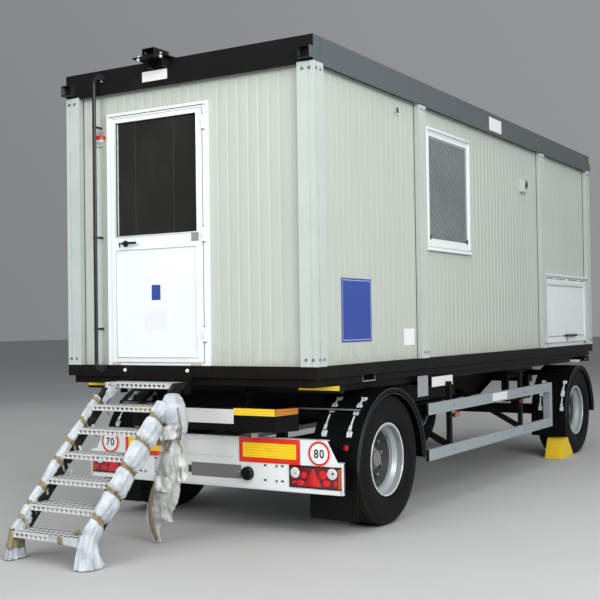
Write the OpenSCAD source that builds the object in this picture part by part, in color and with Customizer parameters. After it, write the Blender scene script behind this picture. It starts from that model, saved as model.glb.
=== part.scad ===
// Portable site cabin standing on a two-axle drawbar trailer, with its entrance stair at the door end.
// X runs towards the window side, Y from the door end to the drawbar, Z up from the ground.

/* [Cabin] */
// Width of the cabin over its posts
cabin_w = 2440; // [2300:10:2500]
// Length of the cabin over its posts
cabin_l = 7150; // [7000:10:7400]
// Height of the walls between base frame and roof frame
wall_h = 2255; // [2200:5:2400]
// Depth of the dark roof frame
roof_frame_h = 195; // [170:5:240]
// Depth of the base frame
base_frame_h = 90; // [80:5:120]
// Depth of the sub-beam under the base frame
sub_beam_h = 60; // [40:5:80]
// Distance that the sub-beam is set in from the base frame's face
sub_beam_in = 40; // [20:5:60]
// Width of every post
post_w = 145; // [120:5:160]
// Sheet thickness of the posts
post_t = 8; // [5:1:10]
// Distance from a corner to the roll-formed groove of a post
post_groove_at = 38; // [25:1:45]
// Depth of that groove
post_groove_d = 4; // [2:0.5:4.5]
// Distance that the wall panels are set back behind the posts
panel_in = 55; // [40:5:65]
// Thickness of the sandwich wall panels
panel_t = 50; // [40:5:60]
// Pitch of the shallow ribs in the panel skin
rib_pitch = 95; // [80:5:120]
// Depth of those ribs
rib_d = 2.5; // [1:0.5:4]
// Thickness of the floor boards
floor_t = 22; // [18:1:30]
// Thickness of the ceiling panel
ceiling_t = 40; // [30:5:60]
// Middle of the side posts from the middle of the cabin
side_post_y = 1660; // [1620:10:1700]

/* [Door] */
// Width of the door frame
door_w = 1030; // [950:10:1060]
// Height of the door frame
door_h = 2082; // [2000:2:2120]
// Middle of the door frame
door_x = -285; // [-300:5:-260]
// Face width of the door frame
door_face = 45; // [40:1:55]
// Height of the threshold
threshold_h = 20; // [15:1:30]
// Thickness of the door leaf
leaf_t = 45; // [40:1:50]
// Width of the leaf's stiles
stile_w = 58; // [50:1:70]
// Height of the leaf's top rail
top_rail_h = 40; // [35:1:60]
// Height of the middle rail above the leaf's foot
mid_rail_z = 918; // [880:2:960]
// Height of the middle rail
mid_rail_h = 119; // [100:1:140]
// Gap between the leaf and its frame
leaf_gap = 5; // [5:0.5:8]

/* [Window] */
// Width of the window frame
window_w = 1050; // [900:10:1100]
// Height of the window frame
window_h = 1110; // [1000:10:1150]
// Middle of the window
window_y = -995; // [-1020:5:-900]
// Height of the window frame's foot above the wall's foot
window_sill = 980; // [900:10:1050]
// Face width of the window frame
window_face = 45; // [40:1:55]
// Width of the sash
sash_w = 35; // [30:1:45]

/* [Hatch] */
// Height of the hatch frame
hatch_h = 860; // [760:10:960]
// Face width of the hatch frame
hatch_face = 45; // [40:1:55]
// Thickness of the hatch leaf
hatch_t = 45; // [35:1:50]

/* [Stair] */
// Number of treads
tread_n = 7; // [6:1:8]
// Clear width between the stringers
stair_w = 630; // [560:10:700]
// Middle of the stair
stair_x = -250; // [-300:5:-220]
// Horizontal distance from tread to tread
going = 165; // [160:1:175]
// Depth of a tread
tread_d = 200; // [180:5:220]
// Height of a tread's serrated edge
tread_h = 42; // [36:1:50]
// Height of the lowest tread
first_step = 205; // [190:5:230]
// Depth of the stringer channels
stringer_d = 100; // [80:5:120]
// Width of the stringer channels
stringer_w = 35; // [30:1:45]
// Thickness of the film wrapped on the stringers
wrap_t = 12; // [8:1:14]

/* [Trailer] */
// Height of the deck that carries the cabin
deck_z = 1180; // [1180:5:1250]
// Tyre radius
tyre_r = 530; // [510:5:530]
// Tyre width
tyre_w = 385; // [365:5:390]
// Radius of the rim at the tyre's bead
rim_r = 285.75; // [280:0.25:292]
// Distance between the middles of two tyres on an axle
track = 2114; // [2090:2:2120]
// Place of the rear axle
rear_axle_y = -2450; // [-2480:10:-2400]
// Place of the front axle and of the turntable
front_axle_y = 2800; // [2780:10:2840]
// Depth of the swap frame on the chassis
swap_h = 60; // [50:5:70]
// Depth of the chassis beams
beam_h = 320; // [280:10:340]
// Middle of each chassis beam
beam_x = 450; // [430:5:470]
// Outer radius of the turntable
ring_r = 450; // [420:5:460]
// Height of the towing eye
eye_z = 900; // [880:5:920]
// Radius of the towing eye's bore
eye_bore_r = 25; // [20:1:28]
// Front end of the towing eye, the same reach as the stair's foot behind
tow_reach = 4853; // [4800:1:4950]

/* [Hidden] */
$fn = 48;
hw = cabin_w / 2;
hl = cabin_l / 2;
base_z = deck_z + sub_beam_h;
wall_z = base_z + base_frame_h;
roof_z = wall_z + wall_h;
top_z = roof_z + roof_frame_h;
panel_x = hw - panel_in;
panel_y = hl - panel_in;
room_x = panel_x - panel_t;
room_y = panel_y - panel_t;
post_in_x = hw - post_w;
post_in_y = hl - post_w;
steel_t = 4;
flange_t = 5;
joist_n = 11;
joist_w = 60;
bow_n = 7;
bow_w = 50;
deck_seat = top_z - 38;
seat_w = panel_in + panel_t;
run_gap = 0.3;
cut = 1;

door_lo = door_x - door_w / 2;
door_hi = door_x + door_w / 2;
door_top = wall_z + door_h;
door_out = panel_y + 25;
door_stop = 15;
leaf_lo = door_lo + door_face + leaf_gap;
leaf_hi = door_hi - door_face - leaf_gap;
leaf_z = wall_z + threshold_h + leaf_gap;
leaf_top = door_top - door_face - leaf_gap;
leaf_out = door_out + 5;
leaf_in = leaf_out - leaf_t;
glass_z = leaf_z + mid_rail_z + mid_rail_h;
glass_t = 24;
door_pin_x = leaf_hi + 10;
door_pin_y = -leaf_out - 6;
hinge_l = 115;
knuckle_r = 9;
hinge_zs = [190, 975, 1860];
handle_x = 150;
handle_z = 970;
lever_l = 135;

window_z = wall_z + window_sill;
window_out = panel_x + 20;
sash_out = window_out - 8;
pane_t = 20;
latch_bar_h = 16;

vent_y = -2075;
vent_z = 2135;
vent_bore_r = 30;
vent_ring_r = 42.5;
box_vent_y = 1075;
box_vent_z = 1818;

hatch_lo = side_post_y + post_w / 2;
hatch_hi = hl - post_w;
hatch_top = wall_z + hatch_h;
hatch_out = panel_x + 15;
hatch_leaf_out = hatch_out + 15;
hatch_leaf_lo = hatch_lo + hatch_face + leaf_gap;
hatch_leaf_hi = hatch_hi - hatch_face - leaf_gap;
hatch_leaf_z = wall_z + hatch_face + leaf_gap;
hatch_leaf_top = hatch_top - hatch_face - 9;
hatch_pin_x = hatch_leaf_out + 8;
hatch_pin_z = hatch_leaf_top + 6;
hatch_hinge_r = 8;
hatch_hinges = [350, 835, 1320];

conduit_x = door_lo - 76;
conduit_r = 16;
conduit_out = 36;
beacon_x = conduit_x - 14;
beacon_z = 1885;
mast_x = -205;
mast_reach = 150;
mast_hole_r = 9;
mast_hole_z = 42;

stair_gap = 85;
stair_top = wall_z - 123;
rise = (stair_top - first_step) / (tread_n - 1);
slope = atan(rise / going);
stair_lo = stair_x - stair_w / 2;
stair_hi = stair_x + stair_w / 2;
stair_back = -hl - stair_gap;
top_front = stair_back - tread_d;
foot_y = top_front - going * (tread_n - 1) + 10;
leg_w = 80;
leg_top = first_step + 10;
film_gap = 1;
wrap_bulge = 34;
plate_t = 5;
diamonds = 14;
wrap_top = stair_top - 87;

wheel_x = track / 2;
axle_z = tyre_r;
swap_z = deck_z - swap_h;
beam_z = swap_z - beam_h;
neck_z = swap_z - 60;
beam_back = -hl + 225;
beam_deep_end = 1400;
beam_neck_y = 2150;
beam_front = front_axle_y - ring_r - 20;
beam_flange_w = 120;
guard_out = 1250;
guard_y = [rear_axle_y + 750, front_axle_y - 1040];
guard_bracket_ys = [guard_y[0] + 560, guard_y[1] - 968];
guard_rails = [425, 828];
guard_z = 480;
chock_h = 235;
ring_in = ring_r - 120;
ring_split = swap_z - 35;
dolly_z = ring_split - 35;
rim_w = 300;
spindle_r = 45;
drum_r = 205;
hub_back = -190;
bar_y = -hl + 315;
bar_lo = 350;
bar_mid = 590;
bar_hi = 757;
lamp_x = [guard_out - 470, guard_out - 16];
lamp_z = [bar_lo + 44, bar_lo + 204];
board_l = 565;
board_h = 195;
disc_r = 100;

// A pair of limits set off from a place
function from(place, span) = [place + span[0], place + span[1]];

// A block between two limits on each axis
module block(x, y, z) {
    translate([x[0], y[0], z[0]]) cube([x[1] - x[0], y[1] - y[0], z[1] - z[0]]);
}

// The same shape on both sides of the middle plane
module pair() {
    children();
    mirror([1, 0, 0]) children();
}

// The same shape at both ends
module ends() {
    children();
    mirror([0, 1, 0]) children();
}

// A profile drawn in Y and Z, drawn out along X
module side_cut(x) {
    translate([x[0], 0, 0]) rotate([90, 0, 90]) linear_extrude(x[1] - x[0]) children();
}

// A profile drawn in X and Z, drawn out along Y
module end_cut(y) {
    translate([0, y[1], 0]) rotate([90, 0, 0]) linear_extrude(y[1] - y[0]) children();
}

module rod_x(r, x, y, z) {
    translate([x[0], y, z]) rotate([0, 90, 0]) cylinder(r = r, h = x[1] - x[0]);
}

module rod_y(r, x, y, z) {
    translate([x, y[0], z]) rotate([-90, 0, 0]) cylinder(r = r, h = y[1] - y[0]);
}

module rod_z(r, x, y, z) {
    translate([x, y, z[0]]) cylinder(r = r, h = z[1] - z[0]);
}

// Ring of channel section round the whole cabin, with its flanges turned inwards
module ring_channel(z) {
    difference() {
        block([-hw, hw], [-hl, hl], z);
        block([-hw + steel_t, hw - steel_t], [-hl + steel_t, hl - steel_t], z + [flange_t, -flange_t]);
        block([-hw + seat_w, hw - seat_w], [-hl + seat_w, hl - seat_w], [z[0] - cut, z[1] + cut]);
    }
}

module base_frame() color("#2d2a26") ring_channel([base_z, wall_z]);

// Joists under the floor, their ends let into the ring channel
module floor_joists() color("#2d2a26") {
    joist_step = (cabin_l - 2 * seat_w) / (joist_n + 1);
    y = [-joist_w, joist_w] / 2;
    for (i = [1 : joist_n])
        translate([0, -hl + seat_w + i * joist_step, 0]) {
            block([-hw + steel_t, hw - steel_t], y, [base_z + flange_t, wall_z - flange_t]);
            block([-hw + seat_w, hw - seat_w], y, [base_z + flange_t, wall_z]);
        }
}

// Beam set in under the base frame, which stands on the trailer's deck
module sub_frame() color("#2a2724") difference() {
    block([-hw + sub_beam_in, hw - sub_beam_in], [-hl + sub_beam_in, hl - sub_beam_in], [deck_z, base_z]);
    block([-hw + seat_w, hw - seat_w], [-hl + seat_w, hl - seat_w], [deck_z - cut, base_z + cut]);
}

// A slab that fills the room between the panels and stands clear round the corner posts
module room_slab(z) {
    difference() {
        block([-room_x, room_x], [-room_y, room_y], z);
        for (x = [-1, 1], y = [-1, 1])
            translate([x * hw, y * hl, 0])
                block([-post_w, post_w], [-post_w, post_w], [z[0] - cut, z[1] + cut]);
    }
}

module floor_deck() color("#6e6a60") room_slab([wall_z, wall_z + floor_t]);

module ceiling() color("#e6e8e4") room_slab([roof_z - ceiling_t, roof_z]);

// Roll-formed corner post, drawn from its outer corner inwards
module corner_profile() {
    groove_w = 12;
    difference() {
        square(post_w);
        translate([post_t, post_t]) square(post_w - 2 * post_t);
        translate([post_groove_at, -cut]) square([groove_w, post_groove_d + cut]);
        translate([-cut, post_groove_at]) square([post_groove_d + cut, groove_w]);
    }
}

module corner_posts() color("#cddad6")
    pair() ends() translate([-hw, -hl, wall_z]) linear_extrude(wall_h) corner_profile();

module side_posts() color("#cddad6")
    pair() ends() translate([hw - seat_w, side_post_y - post_w / 2, wall_z])
        linear_extrude(wall_h) difference() {
            square([seat_w, post_w]);
            translate([post_t, post_t]) square([seat_w - 2 * post_t, post_w - 2 * post_t]);
        }

// Sandwich panel of a length and height, its ribbed skin at y = 0 and its thickness towards +Y
module ribbed_panel(l, h) {
    n = floor((l - 40) / rib_pitch);
    first = (l - (n - 1) * rib_pitch) / 2;
    mouth = 15;
    floor_w = 10;
    ribs = [for (i = [0 : n - 1], p = [[-mouth, 0], [-floor_w, rib_d], [floor_w, rib_d], [mouth, 0]])
        [first + i * rib_pitch + p[0], p[1]]];
    linear_extrude(h) polygon(concat([[0, 0]], ribs, [[l, 0], [l, panel_t], [0, panel_t]]));
}

module rear_panel(x, z) translate([x[0], -panel_y, z[0]]) ribbed_panel(x[1] - x[0], z[1] - z[0]);

module right_panel(y, z)
    translate([panel_x, y[0], z[0]]) rotate([0, 0, 90]) ribbed_panel(y[1] - y[0], z[1] - z[0]);

module rear_wall_left() color("#c8cbc0") rear_panel([-post_in_x, door_lo], [wall_z, roof_z]);

module rear_wall_right() color("#c8cbc0") rear_panel([door_hi, post_in_x], [wall_z, roof_z]);

module rear_wall_head() color("#c8cbc0") rear_panel([door_lo, door_hi], [door_top, roof_z]);

module right_wall_rear() color("#c8cbc0") difference() {
    right_panel([-post_in_y, -side_post_y - post_w / 2], [wall_z, roof_z]);
    rod_x(vent_bore_r, [room_x - cut, hw], vent_y, wall_z + vent_z);
}

module right_wall_middle() color("#c8cbc0") difference() {
    right_panel([-side_post_y + post_w / 2, side_post_y - post_w / 2], [wall_z, roof_z]);
    block([room_x - cut, hw], from(window_y, [-window_w, window_w] / 2), from(window_z, [0, window_h]));
}

module right_wall_front() color("#c8cbc0") right_panel([hatch_lo, hatch_hi], [hatch_top, roof_z]);

module left_wall() color("#c8cbc0") mirror([1, 0, 0]) {
    right_panel([-side_post_y + post_w / 2, side_post_y - post_w / 2], [wall_z, roof_z]);
    ends() right_panel([hatch_lo, hatch_hi], [wall_z, roof_z]);
}

module front_wall() color("#c8cbc0") mirror([0, 1, 0]) rear_panel([-post_in_x, post_in_x], [wall_z, roof_z]);

module roof_frame() color("#26272a") {
    bow_step = (cabin_l - 2 * seat_w) / (bow_n + 1);
    ring_channel([roof_z, top_z]);
    for (i = [1 : bow_n])
        translate([0, -hl + seat_w + i * bow_step, 0])
            block([-hw + steel_t, hw - steel_t], [-bow_w / 2, bow_w / 2], [roof_z + 60, deck_seat]);
}

// Trapezoidal roof sheet with its ribs across the cabin, lying on the bows inside the fascia
module roof_deck() color("#9aa0a2") {
    sheet_t = 5;
    rib_h = 22;
    pitch = 250;
    n = floor((cabin_l - 2 * steel_t - 100) / pitch);
    first = -(n - 1) * pitch / 2;
    end_y = hl - steel_t;
    under = [for (i = [0 : n - 1], p = [[-50, 0], [-30, rib_h], [30, rib_h], [50, 0]])
        [first + i * pitch + p[0], p[1]]];
    over = [for (i = [n - 1 : -1 : 0], p = [[54, 0], [34, rib_h], [-34, rib_h], [-54, 0]])
        [first + i * pitch + p[0], p[1] + sheet_t]];
    translate([0, 0, deck_seat]) side_cut([-hw + steel_t, hw - steel_t])
        polygon(concat([[-end_y, 0]], under, [[end_y, 0], [end_y, sheet_t]], over, [[-end_y, sheet_t]]));
}

module door_frame() color("#f2f5f4") {
    difference() {
        block([door_lo, door_hi], [-door_out, -room_y], [wall_z, door_top]);
        block([door_lo + door_face, door_hi - door_face], [-door_out - cut, -leaf_in + leaf_gap],
            [wall_z + threshold_h, door_top - door_face]);
        block([door_lo + door_face + door_stop, door_hi - door_face - door_stop], [-leaf_in, 0],
            [wall_z + threshold_h, door_top - door_face - door_stop]);
    }
    lower = [0, (hinge_l - run_gap) / 2];
    for (z = hinge_zs) {
        rod_z(knuckle_r, door_pin_x, door_pin_y, from(wall_z + z, lower));
        block(from(door_pin_x, [0, 26]), [door_pin_y - 4, -door_out], from(wall_z + z, lower));
    }
}

module door_leaf() color("#f4f7f6") {
    inset = 8;
    between = [leaf_lo + stile_w, leaf_hi - stile_w];
    panel_z = from(leaf_z, [45, mid_rail_z]);
    upper = [(hinge_l + run_gap) / 2, hinge_l];
    difference() {
        block([leaf_lo, leaf_hi], [-leaf_out, -leaf_in], [leaf_z, leaf_top]);
        block(between, [-leaf_out - cut, -leaf_in + cut], [glass_z, leaf_top - top_rail_h]);
        block(between, [-leaf_out - cut, -leaf_out + inset], panel_z);
        block(between, [-leaf_in - inset, -leaf_in + cut], panel_z);
    }
    for (z = hinge_zs) {
        rod_z(knuckle_r, door_pin_x, door_pin_y, from(wall_z + z, upper));
        block(from(door_pin_x, [-30, 0]), [door_pin_y - 4, -leaf_out], from(wall_z + z, upper));
    }
}

module door_glass() color("#1c2023")
    block([leaf_lo + stile_w, leaf_hi - stile_w], from(-leaf_out + leaf_t / 2, [-glass_t / 2, glass_t / 2]),
        [glass_z, leaf_top - top_rail_h]);

module door_handle() color("#161616") {
    neck = 48;
    for (s = [[-leaf_out, -1], [-leaf_in, 1]])
        translate([leaf_lo + handle_x, s[0], leaf_z + handle_z]) scale([1, s[1], 1]) {
            rod_y(26, 0, [0, 9], 0);
            rod_y(9, 0, [9, neck], 0);
            block([-10, lever_l], [neck - 16, neck], [-9, 9]);
        }
}

module window_frame() color("#f4f7f6") {
    y = from(window_y, [-window_w, window_w] / 2);
    z = from(window_z, [0, window_h]);
    f = window_face;
    s = window_face + sash_w;
    difference() {
        block([room_x, window_out], y, z);
        block([sash_out, window_out + cut], y + [f, -f], z + [f, -f]);
        block([room_x - cut, window_out], y + [s, -s], z + [s + latch_bar_h, -s]);
    }
}

module window_pane() color("#5d6566") {
    s = window_face + sash_w;
    block([panel_x - pane_t, panel_x], from(window_y, [-window_w / 2 + s, window_w / 2 - s]),
        from(window_z, [s + latch_bar_h, window_h - s]));
}

module hatch_frame() color("#eef3f4") {
    drip_h = 20;
    y = [hatch_lo, hatch_hi];
    z = [wall_z, hatch_top];
    face = [hatch_face, -hatch_face];
    stop = face + [12, -12];
    half = [-40, -run_gap / 2];
    difference() {
        block([room_x, hatch_out], y, z);
        block([hatch_leaf_out - hatch_t - leaf_gap, hatch_out + cut], y + face, z + face);
        block([room_x - cut, hatch_out], y + stop, z + stop);
    }
    block([panel_x, hatch_out + 42], y, [hatch_top - drip_h, hatch_top]);
    for (h = hatch_hinges) {
        rod_y(hatch_hinge_r, hatch_pin_x, from(hatch_lo + h, half), hatch_pin_z);
        block([hatch_out - 8, hatch_pin_x], from(hatch_lo + h, half), from(hatch_pin_z, [2, hatch_hinge_r]));
    }
}

module hatch_leaf() color("#e6edf0") {
    rim = [55, -55];
    inset = 6;
    y = [hatch_leaf_lo, hatch_leaf_hi];
    z = [hatch_leaf_z, hatch_leaf_top];
    half = [run_gap / 2, 40];
    difference() {
        block([hatch_leaf_out - hatch_t, hatch_leaf_out], y, z);
        block([hatch_leaf_out - inset, hatch_leaf_out + cut], y + rim, z + rim);
    }
    for (h = hatch_hinges) {
        rod_y(hatch_hinge_r, hatch_pin_x, from(hatch_lo + h, half), hatch_pin_z);
        block([hatch_leaf_out, hatch_pin_x], from(hatch_lo + h, half), from(hatch_pin_z, [-40, 0]));
    }
}

module hatch_handle() color("#1b1c1c") {
    l = 400;
    z = hatch_leaf_z + 78;
    y = (hatch_leaf_lo + hatch_leaf_hi) / 2 + 90;
    face = hatch_leaf_out - 6;
    for (e = [-1, 1])
        block([face, face + 36], from(y + e * (l / 2 - 12), [-12, 12]), from(z, [-12, 12]));
    block([face + 24, face + 42], from(y, [-l / 2, l / 2]), from(z, [-14, 14]));
}

// Quarter bend of the conduit about a centre in X and Z, kept in one quadrant
module conduit_bend(x, z, r, up) {
    intersection() {
        translate([x, -hl - conduit_out, z]) rotate([90, 0, 0])
            rotate_extrude() translate([r, 0]) circle(conduit_r);
        block([x - 2 * r, x], from(-hl - conduit_out, [-r, r]), from(z, (up ? [0, 2 * r] : [-2 * r, 0])));
    }
}

module conduit_pipe() color("#2a2422") {
    bend_r = 50;
    x = conduit_x + bend_r;
    hi = top_z - 116;
    lo = wall_z + 22;
    box_y = from(-hl, [-conduit_out - 20, 0]);
    rod_z(conduit_r, conduit_x, -hl - conduit_out, [lo, hi]);
    conduit_bend(x, hi, bend_r, true);
    conduit_bend(x, lo, bend_r, false);
    block(from(x, [0, 44]), box_y, from(hi + bend_r, [-22, 22]));
    block(from(x, [0, 44]), box_y, from(lo - bend_r, [-24, 24]));
}

// Half-round wall beacon: back plate, red collar and clear dome
module beacon() color("#c23a30") {
    r = 55;
    translate([beacon_x, -panel_y, wall_z + beacon_z]) {
        block([-34, 34], [-12, 0], [-62, 66]);
        intersection() {
            union() {
                rod_z(r, 0, 0, [0, 26]);
                rod_z(r - 12, 0, 0, [-34, 0]);
            }
            block([-r, r], [-r, 0], [-40, 30]);
        }
    }
}

module wall_vents() color("#d9dedb") {
    difference() {
        rod_x(vent_ring_r, [panel_x, panel_x + 12], vent_y, wall_z + vent_z);
        rod_x(vent_bore_r, [panel_x - cut, panel_x + 12 + cut], vent_y, wall_z + vent_z);
    }
    block([panel_x, panel_x + 50], from(box_vent_y, [-76, 76]), from(wall_z + box_vent_z, [-76, 76]));
    rod_x(52, [panel_x + 50, panel_x + 60], box_vent_y, wall_z + box_vent_z);
}

// Shelf on the rear fascia with two gussets, carrying an open tube for a mast foot
module mast_bracket() color("#191a1c") difference() {
    plate_x = from(mast_x, [-165, 145]);
    shelf_t = 8;
    tube_z = from(top_z, [shelf_t, 68]);
    wall = 6;
    union() {
        block(plate_x, from(-hl, [-mast_reach, 40]), from(top_z, [0, shelf_t]));
        block(plate_x, from(-hl, [-shelf_t, 0]), from(top_z, [-50, 0]));
        for (e = [-60, 90])
            block(from(mast_x + e, [0, 8]), from(-hl, [-90, 0]), from(top_z, [-70, 0]));
        block(from(mast_x, [-60, 60]), from(-hl, [-mast_reach, 40]), tube_z);
    }
    block(from(mast_x, [wall - 60, 60 - wall]),
        from(-hl, [-mast_reach - cut, 40 + cut]), tube_z + [wall, -wall]);
    rod_x(mast_hole_r, from(mast_x, [-100, 100]), -hl - mast_reach + 40, top_z + mast_hole_z);
}

// Open-fronted lifting pockets at the four roof corners
module lifting_brackets() color("#37393b") {
    w = 110;
    h = 88;
    d = 60;
    t = 10;
    pair() ends() difference() {
        block([hw - w, hw], [hl, hl + d], from(roof_z, [15, 15 + h]));
        block([hw - w + t, hw - t], [hl + t, hl + d + cut], from(roof_z, [15 + t, 15 + h - t]));
    }
}

// Side view of a stringer and its leg in Y and Z, grown by a margin
module stringer_outline(grow) {
    len = 2200;
    intersection() {
        translate([top_front + tread_d / 2, stair_top - tread_h / 2]) rotate(slope)
            translate([-len, -stringer_d / 2 - grow]) square([2 * len, stringer_d + 2 * grow]);
        translate([foot_y - grow, leg_top / 2 - grow])
            square([stair_back - foot_y + grow, stair_top - leg_top / 2 + grow]);
    }
    translate([foot_y - grow, max(0, -grow)]) square([leg_w + 2 * grow, leg_top - max(0, -grow)]);
}

module stair_stringers() color("#1e1d1c")
    for (s = [-1, 1])
        translate([stair_x, 0, 0]) scale([s, 1, 1]) difference() {
            side_cut(from(stair_w / 2, [0, stringer_w])) stringer_outline(0);
            side_cut(from(stair_w / 2, [plate_t, stringer_w + cut])) stringer_outline(-plate_t);
        }

// Front or back edge of a tread: two chords with a serrated zigzag between them
module serrated_edge() {
    chord = 6;
    web = 4;
    pitch = stair_w / diamonds;
    hi = tread_h - chord;
    difference() {
        square([stair_w, tread_h]);
        for (i = [0 : diamonds - 1])
            translate([i * pitch, 0])
                polygon([[web, chord], [pitch - web, chord], [pitch / 2, hi - web / 2]]);
        for (i = [1 : diamonds - 1])
            translate([i * pitch, 0])
                polygon([[-pitch / 2 + web, hi], [0, chord + web / 2], [pitch / 2 - web, hi]]);
    }
}

// Safety grating tread, from its front edge at y = 0 and its top at z = 0
module grating_tread() {
    rows = 3;
    edge_t = 5;
    grate_h = 12;
    web = 4;
    pitch = stair_w / diamonds;
    step = (tread_d - 2 * edge_t) / rows;
    for (y = [0, tread_d - edge_t])
        translate([0, 0, -tread_h]) end_cut([y, y + edge_t]) serrated_edge();
    for (x = [0, stair_w - edge_t])
        block([x, x + edge_t], [0, tread_d], [-tread_h, 0]);
    translate([0, 0, -grate_h]) linear_extrude(grate_h) difference() {
        square([stair_w, tread_d]);
        for (i = [0 : diamonds - 1], j = [0 : rows - 1])
            translate([(i + 0.5) * pitch, edge_t + (j + 0.5) * step])
                polygon([
                    [-pitch / 2 + web, 0], [0, -step / 2 + web], [pitch / 2 - web, 0], [0, step / 2 - web]]);
    }
}

module stair_treads() color("#c9cdcc")
    for (i = [0 : tread_n - 1])
        translate([stair_lo, top_front - going * (tread_n - 1 - i), first_step + rise * i]) grating_tread();

// Black plate hooked on the base frame, with a cheek to the top of each stringer
module stair_hanger() color("#1b1b1b") {
    cheek_z = stair_top - 95;
    block([stair_lo - 60, stair_hi + 15], from(-hl, [-12, 0]), [base_z - 28, wall_z - 10]);
    for (x = [stair_lo - 12, stair_hi])
        block([x, x + 12], [stair_back, -hl - 12], [cheek_z, stair_top + 10]);
}

// Film wrapped round a stringer and its leg, open towards the treads and thicker on its outer side
module stair_wrap(s, outer_t) translate([stair_x, 0, 0]) scale([s, 1, 1]) difference() {
    side_cut(from(stair_w / 2, [0, stringer_w + film_gap + outer_t])) intersection() {
        stringer_outline(film_gap + wrap_t);
        translate([foot_y - 2 * leg_w, 4]) square([-foot_y, wrap_top - 4]);
    }
    side_cut(from(stair_w / 2, [-cut, stringer_w + film_gap])) union() {
        stringer_outline(film_gap);
        translate([foot_y - film_gap, -cut]) square([leg_w + 2 * film_gap, leg_top]);
    }
}

module stair_wrap_left() color("#e9ebea") stair_wrap(-1, wrap_t);

module stair_wrap_right() color("#e9ebea") stair_wrap(1, wrap_bulge);

// Loose film gathered beside the top of the right stringer, hanging to the ground
module film_bundle() color("#e9ebea") {
    wrap_x = stair_hi + stringer_w + film_gap + wrap_bulge;
    y = stair_back - 215;
    facets = 16;
    top_r = 48;
    flat_r = top_r * cos(180 / facets);
    stations = [
        [wrap_x + run_gap + flat_r, stair_top - 150, top_r, 0],
        [wrap_x + 80, stair_top - 305, 70, 5],
        [wrap_x, stair_top - 505, 85, 50],
        [wrap_x, stair_top - 725, 85, 50],
        [wrap_x - 80, stair_top - 845, 85, 60],
        [wrap_x - 105, 36, 30, 0]
    ];
    for (i = [0 : len(stations) - 2])
        hull() for (p = [stations[i], stations[i + 1]], e = [-1, 1])
            translate([p[0] + e * p[3], y, p[1]]) sphere(r = p[2], $fn = facets);
}

// Side strip of a chassis beam's lower flange, deep behind and raised over the turntable
module beam_under(t) {
    polygon([
        [beam_back, beam_z], [beam_deep_end, beam_z], [beam_neck_y, neck_z],
        [beam_front, neck_z], [beam_front, neck_z + t],
        [beam_neck_y, neck_z + t], [beam_deep_end, beam_z + t], [beam_back, beam_z + t]
    ]);
}

// Post, arm and brace that hold the side guard on the right
module guard_bracket(y) {
    post_x = [guard_out - 65, guard_out - 25];
    arm_z = [swap_z - 64, swap_z - 24];
    inner = beam_x + 5;
    foot_z = from(guard_rails[0], [55, 115]);
    head_z = from(beam_z, [40, 90]);
    block(post_x, from(y, [-25, 25]), [guard_rails[0], arm_z[1]]);
    block([inner, post_x[1]], from(y, [-25, 25]), arm_z);
    end_cut(from(y, [-20, 20])) polygon([
        [post_x[0], foot_z[0]], [post_x[0], foot_z[1]],
        [inner + 55, head_z[1]], [inner, head_z[1]],
        [inner, head_z[0]], [inner + 55, head_z[0]]]);
}

// Two gooseneck I-beams with cross members, guard brackets and a hanging plate on each side
module chassis_beams() color("#232323") {
    web_t = 10;
    lip_t = 14;
    plate_x = [840, 850];
    plate_y = [-1450, -150];
    plate_h = 220;
    cross_z = [beam_z + 10, beam_z + 193];
    front_face = beam_back - 10;
    for (s = [-1, 1])
        translate([s * beam_x, 0, 0]) {
            side_cut([-web_t, web_t] / 2) polygon([
                [beam_back, beam_z], [beam_deep_end, beam_z], [beam_neck_y, neck_z], [beam_front, neck_z],
                [beam_front, swap_z], [beam_back, swap_z]]);
            side_cut([-beam_flange_w, beam_flange_w] / 2) beam_under(lip_t);
            block([-beam_flange_w, beam_flange_w] / 2, [beam_back, beam_front], [swap_z - lip_t, swap_z]);
        }
    for (y = [-1600, -400, 800])
        block([-beam_x, beam_x], [y, y + 60], [beam_z + 60, swap_z - 60]);
    translate([0, 0, cross_z[0]]) linear_extrude(cross_z[1] - cross_z[0]) polygon([
        [-709, front_face], [709, front_face], [800, front_face + 200], [745, front_face + 230],
        [660, front_face + 80], [-660, front_face + 80],
        [-745, front_face + 230], [-800, front_face + 200]]);
    pair() {
        for (y = guard_bracket_ys)
            guard_bracket(y);
        block(plate_x, plate_y, [swap_z - plate_h, swap_z]);
    }
}

// Rails and bolsters on the beams, with side rails under the cabin's sub-beam
module swap_frame() color("#2a2a2a") {
    half = guard_out;
    side = guard_out - 120;
    rail_w = 80;
    end = hl - 275;
    bolster = 2926;
    n = 8;
    z = [swap_z, deck_z];
    for (s = [-1, 1])
        block(from(s * beam_x, [-rail_w, rail_w] / 2), [-end, end], z);
    pair() block([side - rail_w, side], [-end, end], z);
    for (i = [0 : n - 1])
        block([-side, side], from(-bolster + i * 2 * bolster / (n - 1), [-rail_w, rail_w] / 2), z);
    block([-half, half], from(bolster, [-rail_w, rail_w] / 2), [swap_z, swap_z + 30]);
    block([-beam_x, beam_x], from(front_axle_y - ring_r + rail_w, [-rail_w, rail_w]), z);
    ends() block([-half, half], [end - 70, end], z);
}

module turntable_ring() color("#303030") difference() {
    rod_z(ring_r, 0, front_axle_y, [ring_split + run_gap, swap_z]);
    rod_z(ring_in, 0, front_axle_y, [ring_split - cut, swap_z + cut]);
}

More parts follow.
